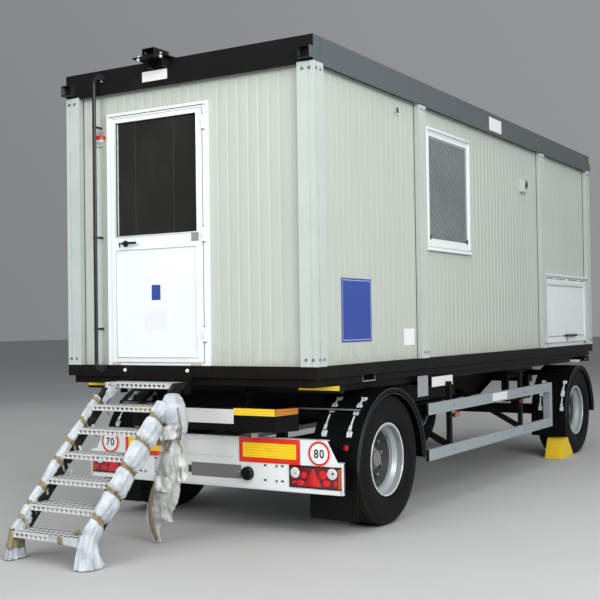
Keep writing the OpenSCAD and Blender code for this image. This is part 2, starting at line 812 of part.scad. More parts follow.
// White rear bar: sloped upper fascia over a channel with two lamp openings, hung from the beams
module rear_bar() color("#dfe3e4") {
    t = 6;
    d = 70;
    shoulder = guard_out - 50;
    top = guard_out - 143;
    buffer_x = 386;
    buffer_z = (bar_lo + bar_mid) / 2;
    end_cut(from(bar_y, [0, t])) difference() {
        polygon([
            [-guard_out, bar_lo], [guard_out, bar_lo], [guard_out, bar_mid], [shoulder, bar_mid],
            [top, bar_hi], [-top, bar_hi], [-shoulder, bar_mid], [-guard_out, bar_mid]]);
        pair() translate([lamp_x[0] - run_gap, lamp_z[0] - run_gap])
            square([lamp_x[1] - lamp_x[0] + 2 * run_gap, lamp_z[1] - lamp_z[0] + 2 * run_gap]);
    }
    block([-guard_out, guard_out], from(bar_y, [0, d]), [bar_lo, bar_lo + t]);
    block([-guard_out, guard_out], from(bar_y, [0, d]), [bar_mid - t, bar_mid]);
    block([-top, top], from(bar_y, [0, d]), [bar_hi - t, bar_hi]);
    for (s = [-1, 1])
        block(from(s * beam_x, [-30, 30]), from(bar_y, [0, d + 10]), [bar_mid - t, beam_z]);
    for (x = [-buffer_x, buffer_x])
        rod_y(50, x, from(bar_y, [-30, 0]), buffer_z);
}

module marker_boards() color("#f0c93a") pair() {
    t = 4;
    board_x = guard_out - 380 - board_l;
    block(from(board_x, [0, board_l]), from(bar_y, [-t, 0]), from(bar_hi - 2, [-board_h, 0]));
    rod_y(disc_r, guard_out - 210, from(bar_y, [-t, 0]), bar_hi - disc_r - 1);
}

module tail_lamps() color("#b02a22") pair()
    block(lamp_x, from(bar_y, [-10, 52]), lamp_z);

// Two rails joined at their front by an upright channel
module side_guards() color("#b9bec0") pair() {
    rail_h = 100;
    t = 25;
    upright = [guard_rails[0], guard_rails[1] + rail_h];
    for (z = guard_rails)
        block([guard_out - t, guard_out], guard_y, [z, z + rail_h]);
    block([guard_out - t, guard_out], from(guard_y[1], [-80, 0]), upright);
    for (e = [-80, -8])
        block([guard_out - 80, guard_out - t], from(guard_y[1] + e, [0, 8]), upright);
}

// Axle beam with spindles, springs and hangers up to a height
module axle_set(y, top) {
    spring = [axle_z + 110, axle_z + 165];
    inner = wheel_x + hub_back - 5;
    block([-inner, inner], from(y, [-60, 60]), from(axle_z, [-60, 60]));
    pair() {
        rod_x(spindle_r - run_gap, [wheel_x + hub_back - 10, wheel_x - 25], y, axle_z);
        block(from(beam_x, [-40, 40]), from(y, [-430, 430]), spring);
        block(from(beam_x, [-50, 50]), from(y, [-80, 80]), [axle_z + 60, spring[0]]);
        for (e = [-430, 340])
            block(from(beam_x, [-40, 40]), from(y + e, [0, 60]), [spring[0], top]);
    }
}

module rear_axle() color("#1f1f1f") axle_set(rear_axle_y, beam_z);

module front_axle() color("#1f1f1f") axle_set(front_axle_y, dolly_z - 110);

// Half-ring mudguard of a radius, with turned lips and a flap down to a height at its back end
module mudguard(y, r, flap_z) {
    x = [850, guard_out + 20];
    t = 5;
    lip = 32;
    difference() {
        rod_x(r, x, y, guard_z);
        rod_x(r - t, x + [t, -t], y, guard_z);
        rod_x(r - lip, x + [-cut, cut], y, guard_z);
        block(x + [-cut, cut], from(y, [-2 * r, 2 * r]), [guard_z - 2 * r, guard_z]);
    }
    block(x, [y - r, y - r + 8], [flap_z, guard_z + 20]);
}

module rear_mudguards() color("#2b2c2e") pair() {
    r = 635;
    stay_z = 965;
    stay_y = sqrt(r * r - (stay_z - guard_z) * (stay_z - guard_z)) + 14;
    mudguard(rear_axle_y, r, 126);
    for (e = [-1, 1])
        rod_x(18, [beam_x + 5, guard_out], rear_axle_y + e * stay_y, stay_z);
}

module front_mudguards() color("#2b2c2e") pair() {
    r = 605;
    stay_z = 990;
    stay_y = sqrt(r * r - (stay_z - guard_z) * (stay_z - guard_z)) + 14;
    mudguard(front_axle_y, r, chock_h + 25);
    for (e = [-1, 1])
        rod_x(18, [beam_x + 45, guard_out], front_axle_y + e * stay_y, stay_z);
}

module air_tanks() color("#242424") pair() {
    r = 118;
    x = beam_x + beam_flange_w / 2 + r + 10;
    z = beam_z + 130;
    y = [-1870, -1180];
    rod_y(r, x, y, z);
    for (e = [y[0] + 120, y[1] - 160])
        block([beam_x + 5, x], [e, e + 40], from(z, [-15, 15]));
}

module dolly_frame() color("#262626") {
    d = 110;
    w = 90;
    y = from(front_axle_y, [-ring_r - 15, 500]);
    z = [dolly_z - d, dolly_z];
    difference() {
        rod_z(ring_r, 0, front_axle_y, [dolly_z, ring_split]);
        rod_z(ring_in, 0, front_axle_y, [dolly_z - cut, ring_split + cut]);
    }
    for (s = [-1, 1])
        block(from(s * beam_x, [-w, w] / 2), y, z);
    block([-beam_x, beam_x], from(y[0], [0, w]), z);
    block([-beam_x, beam_x], from(front_axle_y, [-w, w] / 2), z);
    block([-beam_x - w / 2, beam_x + w / 2], from(y[1], [-w, 0]), [eye_z - 50, dolly_z]);
}

// A-shaped drawbar with its towing eye
module drawbar() color("#252525") {
    y0 = front_axle_y + 500;
    y1 = tow_reach - 330;
    neck_w = 80;
    eye_r = 75;
    z = from(eye_z, [-45, 45]);
    difference() {
        union() {
            translate([0, 0, z[0]]) linear_extrude(z[1] - z[0]) {
                for (s = [-1, 1])
                    polygon([
                        [s * (beam_x - 10), y0], [s * (beam_x - 120), y0], [s * 5, y1], [s * neck_w, y1]]);
                translate([-neck_w, y1 - 60]) square([2 * neck_w, 160]);
            }
            rod_y(34, 0, [y1, tow_reach - 2 * eye_r + 20], eye_z);
            rod_z(eye_r, 0, tow_reach - eye_r, from(eye_z, [-18, 18]));
        }
        rod_z(eye_bore_r, 0, tow_reach - eye_r, from(eye_z, [-100, 100]));
    }
}

module wheel_chock() color("#d9c21f") difference() {
    side_cut([wheel_x - 25, wheel_x + 185]) polygon([
        [front_axle_y - 690, 0], [front_axle_y - 250, 0], [front_axle_y - 250, 30],
        [front_axle_y - 440, chock_h], [front_axle_y - 560, chock_h]]);
    rod_x(tyre_r + run_gap, [wheel_x - 60, wheel_x + 220], front_axle_y, axle_z);
}

// Tyre section as a revolve about its axle, radius along x and width along y
module tyre() color("#1b1b1c") rotate([0, 90, 0]) rotate_extrude() {
    bead = rim_r + run_gap;
    h = tyre_w / 2;
    groove = 9;
    seat = rim_w / 2 - 7;
    difference() {
        polygon([
            [bead, -seat], [bead + 17.5, -seat - 6], [bead + 40, -h + 22], [bead + 95, -h + 3],
            [bead + 135, -h], [bead + 175, -h + 3], [tyre_r - 22, -h + 14], [tyre_r - 5, -h + 30],
            [tyre_r, -h + 55], [tyre_r, h - 55], [tyre_r - 5, h - 30], [tyre_r - 22, h - 14],
            [bead + 175, h - 3], [bead + 135, h], [bead + 95, h - 3], [bead + 40, h - 22],
            [bead + 17.5, seat + 6], [bead, seat], [bead, rim_w / 2 - 40], [bead + 60, h - 45],
            [bead + 160, h - 26], [tyre_r - 40, h - 45],
            [tyre_r - 30, 0], [tyre_r - 40, -h + 45], [bead + 160, -h + 26], [bead + 60, -h + 45],
            [bead, -rim_w / 2 + 40]]);
        for (x = [-100, -36, 36, 100])
            translate([tyre_r - groove, x - 6]) square([groove + cut, 12]);
    }
}

// Dished disc wheel with hub, brake drum and bore, its outer side towards +X
module rim() color("#c4c8cc") difference() {
    face = -8;
    disc_t = 12;
    back = face - disc_t;
    union() {
        rotate([0, 90, 0]) rotate_extrude() {
            half = rim_w / 2;
            t = 7;
            polygon([
                [rim_r, -half + 6], [rim_r + 12, -half], [rim_r + 12, -half - t], [rim_r - t, -half - t],
                [rim_r - t, -half + 40], [rim_r - 35, -half + 75],
                [rim_r - 35, half - 75], [rim_r - t, half - 40],
                [rim_r - t, half + t], [rim_r + 12, half + t], [rim_r + 12, half], [rim_r, half - 6],
                [rim_r, half - 36], [rim_r - 28, half - 71], [rim_r - 28, -half + 71], [rim_r, -half + 36]]);
            polygon([
                [rim_r - 34, 40], [rim_r - 34, 56], [rim_r - 60, 52], [rim_r - 95, face], [60, face],
                [60, back], [rim_r - 88, back], [rim_r - 52, 40]]);
        }
        rod_x(150, from(back, [-14, 2]), 0, 0);
        rod_x(78, [back, 44], 0, 0);
        rod_x(65, [44, 64], 0, 0);
        difference() {
            rod_x(drum_r, [hub_back, back + 2], 0, 0);
            rod_x(drum_r - 20, [hub_back - cut, back - 25], 0, 0);
        }
        rod_x(80, [hub_back + 10, back], 0, 0);
    }
    rod_x(spindle_r, [hub_back - cut, -20], 0, 0);
}

module at_wheel(side, y) translate([side * wheel_x, y, axle_z]) scale([side, 1, 1]) children();

module tyre_rear_right() at_wheel(1, rear_axle_y) tyre();
module rim_rear_right() at_wheel(1, rear_axle_y) rim();
module tyre_rear_left() at_wheel(-1, rear_axle_y) tyre();
module rim_rear_left() at_wheel(-1, rear_axle_y) rim();
module tyre_front_right() at_wheel(1, front_axle_y) tyre();
module rim_front_right() at_wheel(1, front_axle_y) rim();
module tyre_front_left() at_wheel(-1, front_axle_y) tyre();
module rim_front_left() at_wheel(-1, front_axle_y) rim();

base_frame();
floor_joists();
sub_frame();
floor_deck();
corner_posts();
side_posts();
rear_wall_left();
rear_wall_right();
rear_wall_head();
right_wall_rear();
right_wall_middle();
right_wall_front();
left_wall();
front_wall();
roof_frame();
roof_deck();
ceiling();
door_frame();
door_leaf();
door_glass();
door_handle();
window_frame();
window_pane();
hatch_frame();
hatch_leaf();
hatch_handle();
conduit_pipe();
beacon();
wall_vents();
mast_bracket();
lifting_brackets();
stair_stringers();
stair_treads();
stair_hanger();
stair_wrap_left();
stair_wrap_right();
film_bundle();
chassis_beams();
swap_frame();
rear_bar();
marker_boards();
tail_lamps();
side_guards();
rear_axle();
rear_mudguards();
air_tanks();
turntable_ring();
dolly_frame();
front_axle();
front_mudguards();
drawbar();
wheel_chock();
tyre_rear_right();
rim_rear_right();
tyre_rear_left();
rim_rear_left();
tyre_front_right();
rim_front_right();
tyre_front_left();
rim_front_left();
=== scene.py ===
import bpy, bmesh, math, random
from mathutils import Matrix, Vector, noise


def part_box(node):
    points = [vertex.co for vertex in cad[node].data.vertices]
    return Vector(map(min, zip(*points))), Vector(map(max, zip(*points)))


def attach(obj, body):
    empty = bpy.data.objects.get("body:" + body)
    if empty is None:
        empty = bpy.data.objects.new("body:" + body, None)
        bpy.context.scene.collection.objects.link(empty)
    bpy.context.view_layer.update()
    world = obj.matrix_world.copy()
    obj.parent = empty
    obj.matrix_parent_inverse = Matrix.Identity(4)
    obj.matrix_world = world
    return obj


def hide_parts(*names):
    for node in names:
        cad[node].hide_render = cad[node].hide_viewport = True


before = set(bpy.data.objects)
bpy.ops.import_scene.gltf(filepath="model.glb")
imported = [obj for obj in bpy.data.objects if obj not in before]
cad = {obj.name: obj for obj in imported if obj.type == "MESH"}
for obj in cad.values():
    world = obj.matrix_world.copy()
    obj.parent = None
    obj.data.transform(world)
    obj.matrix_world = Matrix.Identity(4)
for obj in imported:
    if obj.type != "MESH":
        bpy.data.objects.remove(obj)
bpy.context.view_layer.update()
print("cabin and trailer loaded:", len(cad), "nodes")

rearFace, sideFace = -3.575, 1.220      # posts and fascia, outer faces
panelRear, panelSide = -3.520, 1.165    # wall panels, outer faces
wallFoot, fasciaFoot, fasciaTop = 1.330, 3.585, 3.778
wallEnd, wallHalf = 3.43, 1.075         # where the corner posts stop along and across the cabin
barFace, boardFace, guardFace = -3.260, -3.264, 1.250
treadCount, treadHeight, treadGoing = 7, 0.042, 0.165


# shader and geometry wires

class Wire:                             # one node socket that Python sums can use
    def __init__(self, socket):
        self.socket = socket

    def node(self, kind, settings=None, inputs=None, out=0):
        tree = self.socket.id_data
        made = tree.nodes.new(kind)
        for name, value in (settings or {}).items():
            if name == "stops":
                ramp = made.color_ramp
                ramp.elements.remove(ramp.elements[-1])
                ramp.elements[0].position, ramp.elements[0].color = value[0]
                for place, colour in value[1:]:
                    ramp.elements.new(place).color = colour
            else:
                setattr(made, name, value)
        for key, value in (inputs or {}).items():
            if isinstance(value, Wire):
                tree.links.new(value.socket, made.inputs[key])
            else:
                made.inputs[key].default_value = value
        return Wire(made.outputs[out])

    def sums(self, operation, *values):     # with no values it works on the wire itself
        return self.node("ShaderNodeMath", {"operation": operation}, dict(enumerate(values or (self,))))

    def __add__(self, other):
        return self.sums("ADD", self, other)

    def __sub__(self, other):
        return self.sums("SUBTRACT", self, other)

    def __rsub__(self, other):
        return self.sums("SUBTRACT", other, self)

    def __mul__(self, other):
        return self.sums("MULTIPLY", self, other)

    def __truediv__(self, other):
        return self.sums("DIVIDE", self, other)

    def __pow__(self, other):
        return self.sums("POWER", self, other)

    __radd__ = __add__


def tone(red, green, blue):             # a colour as a paint chart gives it, 0 to 255
    return tuple(((c / 255 + 0.055) / 1.055) ** 2.4 if c > 10 else c / 3294.6 for c in (red, green, blue)) + (1.0,)


def shade(colour, times):
    return tuple(min(1.0, c * times) for c in colour[:3]) + (1.0,)


def newFinish(name):                    # gives the material, its shader and the place of the surface
    material = bpy.data.materials.new(name)
    material.use_nodes = True
    tree = material.node_tree
    return material, tree.nodes["Principled BSDF"], Wire(tree.nodes.new("ShaderNodeTexCoord").outputs["Object"])


def feed(shader, **inputs):
    for key, value in inputs.items():
        socket = shader.inputs[{"colour": "Base Color", "rough": "Roughness", "metal": "Metallic",
                                "coat": "Coat Weight", "coatRough": "Coat Roughness", "normal": "Normal",
                                "glow": "Emission Color", "glowing": "Emission Strength", "alpha": "Alpha",
                                "gloss": "Specular IOR Level", "under": "Subsurface Weight"}[key]]
        if isinstance(value, Wire):
            shader.id_data.links.new(value.socket, socket)
        else:
            socket.default_value = value


def cloud(place, size, detail=3.0, rough=0.55, stretch=(1, 1, 1)):     # soft noise, 0 to 1, of a size in metres
    where = place.node("ShaderNodeMapping", {}, {"Vector": place, "Scale": tuple(s / size for s in stretch)})
    return place.node("ShaderNodeTexNoise", {}, {"Vector": where, "Scale": 1.0, "Detail": detail,
                                                 "Roughness": rough})


def spread(value, low, high):           # a band of a value stretched to 0..1
    return value.node("ShaderNodeMapRange", {"interpolation_type": "SMOOTHSTEP"},
                      {0: value, 1: low, 2: high, 3: 0.0, 4: 1.0})


def between(factor, first, second):     # two colours mixed
    return factor.node("ShaderNodeMix", {"data_type": "RGBA"}, {0: factor, 6: first, 7: second}, out=2)


def bumped(height, depth, strength=1.0):
    return height.node("ShaderNodeBump", {}, {"Strength": strength, "Distance": depth, "Height": height})


def ripple(value, pitch):               # a sine wave, its pitch in metres
    return (value * (2 * math.pi / pitch)).sums("SINE")


def axes(place):
    return [place.node("ShaderNodeSeparateXYZ", {}, {0: place}, out=i) for i in range(3)]


# finishes

def paintedSteel(name, colour, rough, dust=0.25, dustColour=tone(150, 146, 136), metal=0.0, coat=0.0, peel=0.00012,
                 low=None, scratch=0.15, gloss=0.5, sideSheen=None):
    # paint with slow tone changes, faint runs, dust that settles low down and orange peel
    material, shader, place = newFinish(name)
    slow = cloud(place, 0.55)
    runs = cloud(place, 0.05, 4.0, 0.6, (1, 1, 0.08))
    specks = spread(cloud(place, 0.004, 2.0), 0.62, 0.74)
    body = between(slow, shade(colour, 0.90), shade(colour, 1.08))
    body = between(spread(runs, 0.52, 0.8) * (dust * 0.5), body, dustColour)
    dusty = spread(cloud(place, 0.16, 5.0, 0.65), 0.45, 0.8) * dust
    if low:                             # more dust towards the given height
        height = axes(place)[2]
        dusty = dusty + spread((low[1] - height) / (low[1] - low[0]), 0.0, 1.0) * dust * 0.9
    body = between(dusty, body, dustColour)
    if sideSheen:                           # the long sides are painted lighter, more towards the door end: a painted reflection of the sky
        facing = axes(place.node("ShaderNodeNewGeometry", out=1))[0].sums("ABSOLUTE")
        outside = spread((axes(place)[0].sums("ABSOLUTE") - 1.10) / 0.05, 0.0, 1.0)
        body = between(facing * outside * (0.70 + spread((3.0 - axes(place)[1]) / 6.0, 0.0, 1.0) * 0.25), body, sideSheen)
    feed(shader, colour=between(specks * scratch, body, shade(colour, 1.6)),
         rough=rough + (slow - 0.5) * 0.10 + dusty * 0.25, metal=metal, coat=coat, coatRough=0.12, gloss=gloss,
         normal=bumped(cloud(place, 0.003, 2.0) + runs * 0.5, peel))
    return material


def panelCoat(name, colour):
    # plastic-coated panel sheet: fine vertical micro-lines, washed streaks and a soft cloud of dirt
    material, shader, place = newFinish(name)
    across = axes(place)[0] + axes(place)[1]
    lines = ripple(across, 0.019)
    slow = cloud(place, 0.8, 4.0)
    streaks = spread(cloud(place, 0.035, 5.0, 0.6, (1, 1, 0.03)), 0.5, 0.85)
    height = axes(place)[2]
    foot = spread((1.62 - height) / 0.3, 0.0, 1.0) * spread(cloud(place, 0.07, 5.0), 0.35, 0.75)
    body = between(slow, shade(colour, 0.955), shade(colour, 1.045))
    body = between(streaks * 0.16, body, shade(colour, 0.72))
    body = between(foot * 0.22, body, tone(142, 134, 118))
    feed(shader, colour=body, rough=0.46 + (slow - 0.5) * 0.12 + streaks * 0.08, gloss=0.45,
         normal=bumped(lines * 0.5 + cloud(place, 0.006, 2.0) * 0.35, 0.00022))
    return material


def plastic(name, colour, rough=0.38, grime=0.12, grain=0.0001, coat=0.0, under=0.0, gloss=0.5):
    material, shader, place = newFinish(name)
    slow = cloud(place, 0.3, 4.0)
    grimy = spread(cloud(place, 0.05, 5.0, 0.62), 0.5, 0.85) * grime
    feed(shader, colour=between(grimy, between(slow, shade(colour, 0.95), shade(colour, 1.04)), shade(colour, 0.5)),
         rough=rough + (slow - 0.5) * 0.08 + grimy * 0.3, coat=coat, coatRough=0.08, under=under, gloss=gloss,
         normal=bumped(cloud(place, 0.0022, 2.0), grain))
    return material


def bareMetal(name, colour, rough=0.32, grain=(1, 1, 1), spangle=0.0, dull=0.2, metal=0.92):
    # zinc, steel or aluminium with brushed grain, dull bloom and, where asked, zinc spangle
    material, shader, place = newFinish(name)
    brushed = cloud(place, 0.006, 4.0, 0.6, grain)
    bloom = spread(cloud(place, 0.09, 5.0, 0.6), 0.42, 0.8)
    body = between(bloom * dull, colour, shade(colour, 0.62))
    rough = rough + bloom * 0.22 + (brushed - 0.5) * 0.16
    if spangle:
        flakes = place.node("ShaderNodeTexVoronoi", {}, {"Vector": place, "Scale": 1 / 0.012}, out=1)
        light = axes(flakes)[0]
        body = between(light * spangle, body, shade(colour, 1.35))
        rough = rough + (light - 0.5) * 0.15
    feed(shader, colour=body, rough=rough, metal=metal, normal=bumped(brushed, 0.00012))
    return material


def aboutHub(place, hub):               # distances along and up from a hub, and the radius
    _, along, up = axes(place)
    dy, dz = along - hub[1], up - hub[2]
    return dy, dz, (dy * dy + dz * dz) ** 0.5


def tyreRubber(name, hub):
    # black rubber about an axle: sidewall rings, fine radial knurl, brown-grey dust in patches
    material, shader, place = newFinish(name)
    dy, dz, radius = aboutHub(place, hub)
    turn = dy.sums("ARCTAN2", dz, dy)
    knurl = (turn * 260.0).sums("SINE")
    rings = ripple(radius, 0.0125)
    inBand = spread((radius - 0.36) / 0.012, 0.0, 1.0) * spread((0.425 - radius) / 0.012, 0.0, 1.0)
    dusty = spread(cloud(place, 0.12, 5.0, 0.65), 0.42, 0.78)
    scuffs = spread(cloud(place, 0.02, 4.0, 0.7), 0.58, 0.8)
    tread = spread((radius - 0.5) / 0.02, 0.0, 1.0)
    body = between(dusty * 0.4 + scuffs * 0.15, tone(12, 13, 13), tone(36, 34, 32))
    body = between(tread * (0.2 + dusty * 0.3), body, tone(58, 55, 50))
    feed(shader, colour=body, rough=0.60 + dusty * 0.2 - scuffs * 0.08, gloss=0.16,
         normal=bumped(knurl * inBand * 0.5 + rings * 0.25 * (1 - inBand) * (1 - tread) + cloud(place, 0.004) * 0.9,
                       0.0006))
    return material


def wheelPaint(name, hub):
    # silver wheel paint, painted near black inside the dish as painted shade, with streaks of brake dust and the rim
    # edge left silver
    material, shader, place = newFinish(name)
    _, _, radius = aboutHub(place, hub)
    # the dish mask paints the bowl dark and dull: painted shade
    dish = 1 - spread((radius - 0.236) / 0.012, 0.0, 1.0)
    streaks = spread(cloud(place, 0.03, 5.0, 0.65), 0.45, 0.8)
    body = between(dish * 0.9 + streaks * 0.10, tone(172, 178, 181), tone(30, 31, 33))
    feed(shader, colour=body, rough=0.40 + streaks * 0.16 + dish * 0.1, metal=0.32 - dish * 0.32, gloss=0.12,
         normal=bumped(cloud(place, 0.003), 0.0001))
    return material


def darkGlass(name):
    # tinted pane over a dark room, with faint wiped haze and dust along its foot
    material, shader, place = newFinish(name)
    haze = spread(cloud(place, 0.25, 4.0, 0.6, (1, 1, 0.5)), 0.4, 0.8)
    height = axes(place)[2]
    foot = spread((2.46 - height) / 0.14, 0.0, 1.0)
    feed(shader, colour=between(haze * 0.35 + foot * 0.25, tone(30, 29, 25), tone(56, 55, 49)),
         rough=0.045 + haze * 0.05 + foot * 0.05, gloss=0.5, coat=0.4, coatRough=0.02)
    return material


def insectMesh(name):
    # woven grey mesh in front of a pane: fine threads that beat into slow waves
    material, shader, place = newFinish(name)
    _, along, up = axes(place)
    warp = cloud(place, 0.16, 3.0)
    threads = ripple(along, 0.0042) * ripple(up, 0.0042)
    waves = (along * 60.0 + up * 95.0 + warp * 11.0).sums("SINE")
    waves2 = (along * 150.0 - up * 40.0 + warp * 16.0).sums("SINE")
    slow = cloud(place, 0.5)
    light = 0.42 + waves * 0.16 + waves2 * 0.12 + (slow - 0.5) * 0.5
    feed(shader, colour=between(light, tone(74, 80, 84), tone(146, 152, 153)), rough=0.5 + waves * 0.06,
         normal=bumped(threads, 0.0003))
    return material


def stretchFilm(name, low=tone(150, 158, 166), high=tone(198, 205, 211), alpha=1.0):
    # milky wrapping film: translucent white, painted darker in soft folds and creases as painted shade, with fine
    # stretch lines and grey dust in the creases
    material, shader, place = newFinish(name)
    folds = spread(cloud(place, 0.10, 3.0, 0.5), 0.30, 0.66)
    creases = cloud(place, 0.035, 4.0, 0.55, (1, 1, 0.40))
    lines = spread(cloud(place, 0.014, 3.0, 0.6, (1, 1, 0.16)), 0.56, 0.74)
    dusty = spread(cloud(place, 0.13, 4.0, 0.6), 0.55, 0.85)
    # folds and creases mix the colour from the darker low tone to the high one: painted shade
    body = between(folds * 0.70 + creases * 0.30 + lines * 0.10, low, high)
    body = between(dusty * 0.22, body, tone(150, 150, 146))
    feed(shader, colour=body, rough=0.42 + creases * 0.3, gloss=0.35, under=0.06, alpha=alpha,
         normal=bumped(creases * 0.9 + folds * 0.6 + lines * 0.15, 0.006, 0.9))
    shader.inputs["Subsurface Radius"].default_value = (0.02, 0.02, 0.02)
    return material


def serratedZinc(name, low, rise, going, colour=tone(214, 216, 215)):
    # the treads' outer faces keep the zinc colour; the walls inside the punched diamonds and zigzags are painted near
    # black as painted shade
    material, shader, place = newFinish(name)
    _, y, z = axes(place)
    nx, ny, nz = axes(place.node("ShaderNodeNewGeometry", out=1))
    tread = ((z - low[2] + 0.001) / rise).sums("FLOOR")
    depth = y - low[1] - tread * going                      # from the tread's own front edge
    front = nz.sums("LESS_THAN", ny, -0.9) * depth.sums("LESS_THAN", depth, 0.002)
    back = ny.sums("GREATER_THAN", ny, 0.9) * depth.sums("GREATER_THAN", depth, 0.198)
    top = nz.sums("GREATER_THAN", nz, 0.9)
    ends = nx.sums("GREATER_THAN", nx.sums("ABSOLUTE"), 0.97)
    faces = front + back + top + ends
    bright = faces.sums("MINIMUM", faces, 1.0)
    worn = spread(cloud(place, 0.03, 4.0), 0.35, 0.75)
    body = between(worn * 0.3, colour, tone(178, 180, 178))
    # every face outside the bright mask takes the dark colour: painted shade
    body = between(bright, tone(40, 39, 37), body)
    feed(shader, colour=body, rough=0.42 + worn * 0.15, metal=bright * 0.25, gloss=0.35,
         normal=bumped(cloud(place, 0.004, 2.0), 0.0003, 0.5))
    return material


def brownTape(name):
    material, shader, place = newFinish(name)
    folds = cloud(place, 0.02, 5.0, 0.65)
    feed(shader, colour=between(folds, tone(112, 98, 68), tone(150, 140, 108)), rough=0.24 + folds * 0.3, coat=0.3,
         coatRough=0.15, normal=bumped(folds, 0.002, 0.8))
    return material


def reflexSheet(name, colour, glow=0.05):
    # retroreflective sheet: a small honeycomb of beads under a clear face, with a faint glow as painted light for the
    # light the beads send back
    material, shader, place = newFinish(name)
    cells = place.node("ShaderNodeTexVoronoi", {"feature": "DISTANCE_TO_EDGE"}, {"Vector": place, "Scale": 1 / 0.006})
    slow = cloud(place, 0.12, 4.0)
    rows = ripple(axes(place)[2], 0.021)
    body = between(slow * 0.3 + spread(rows, 0.45, 0.85) * 0.75, colour, shade(colour, 0.62))
    feed(shader, colour=body, rough=0.28 + slow * 0.12, coat=0.6, coatRough=0.06, glow=colour, glowing=glow,
         normal=bumped(spread(cells, 0.0, 0.12), 0.0002))
    return material


def lampPlastic(name, colour, glow=0.0, rough=0.12):
    material, shader, place = newFinish(name)
    across, _, up = axes(place)
    flutes = ripple(up, 0.006) * ripple(across, 0.006)
    slow = cloud(place, 0.04, 4.0)
    feed(shader, colour=between(slow, shade(colour, 0.7), shade(colour, 1.15)), rough=rough + slow * 0.1, coat=0.8,
         coatRough=0.03, glow=colour, glowing=glow, normal=bumped(flutes, 0.0004, 0.7))
    return material


def boardFloor(name):
    # grey-brown floor sheet with a faint fleck
    material, shader, place = newFinish(name)
    fleck = spread(cloud(place, 0.006, 2.0), 0.5, 0.62)
    worn = cloud(place, 0.5, 4.0)
    sheet = between(worn, tone(112, 108, 100), tone(134, 129, 120))
    feed(shader, colour=between(fleck * 0.35, sheet, tone(160, 156, 148)),
         rough=0.42 + worn * 0.2, normal=bumped(fleck, 0.0002))
    return material


def blueBoard(name, middle=(-2.8545, 1.75), half=(0.2495, 0.25)):
    # plain blue poster with a thin light line inside its edge
    material, shader, place = newFinish(name)
    _, along, up = axes(place)
    inset = up.sums("MINIMUM", half[0] - (along - middle[0]).sums("ABSOLUTE"),
                    half[1] - (up - middle[1]).sums("ABSOLUTE"))
    line = spread(inset, 0.012, 0.014) * (1 - spread(inset, 0.017, 0.019))
    slow = cloud(place, 0.3)
    body = between(slow, tone(36, 62, 142), tone(48, 78, 160))
    feed(shader, colour=between(line * 0.85, body, tone(196, 204, 224)), rough=0.34 + slow * 0.1, coat=0.2)
    return material


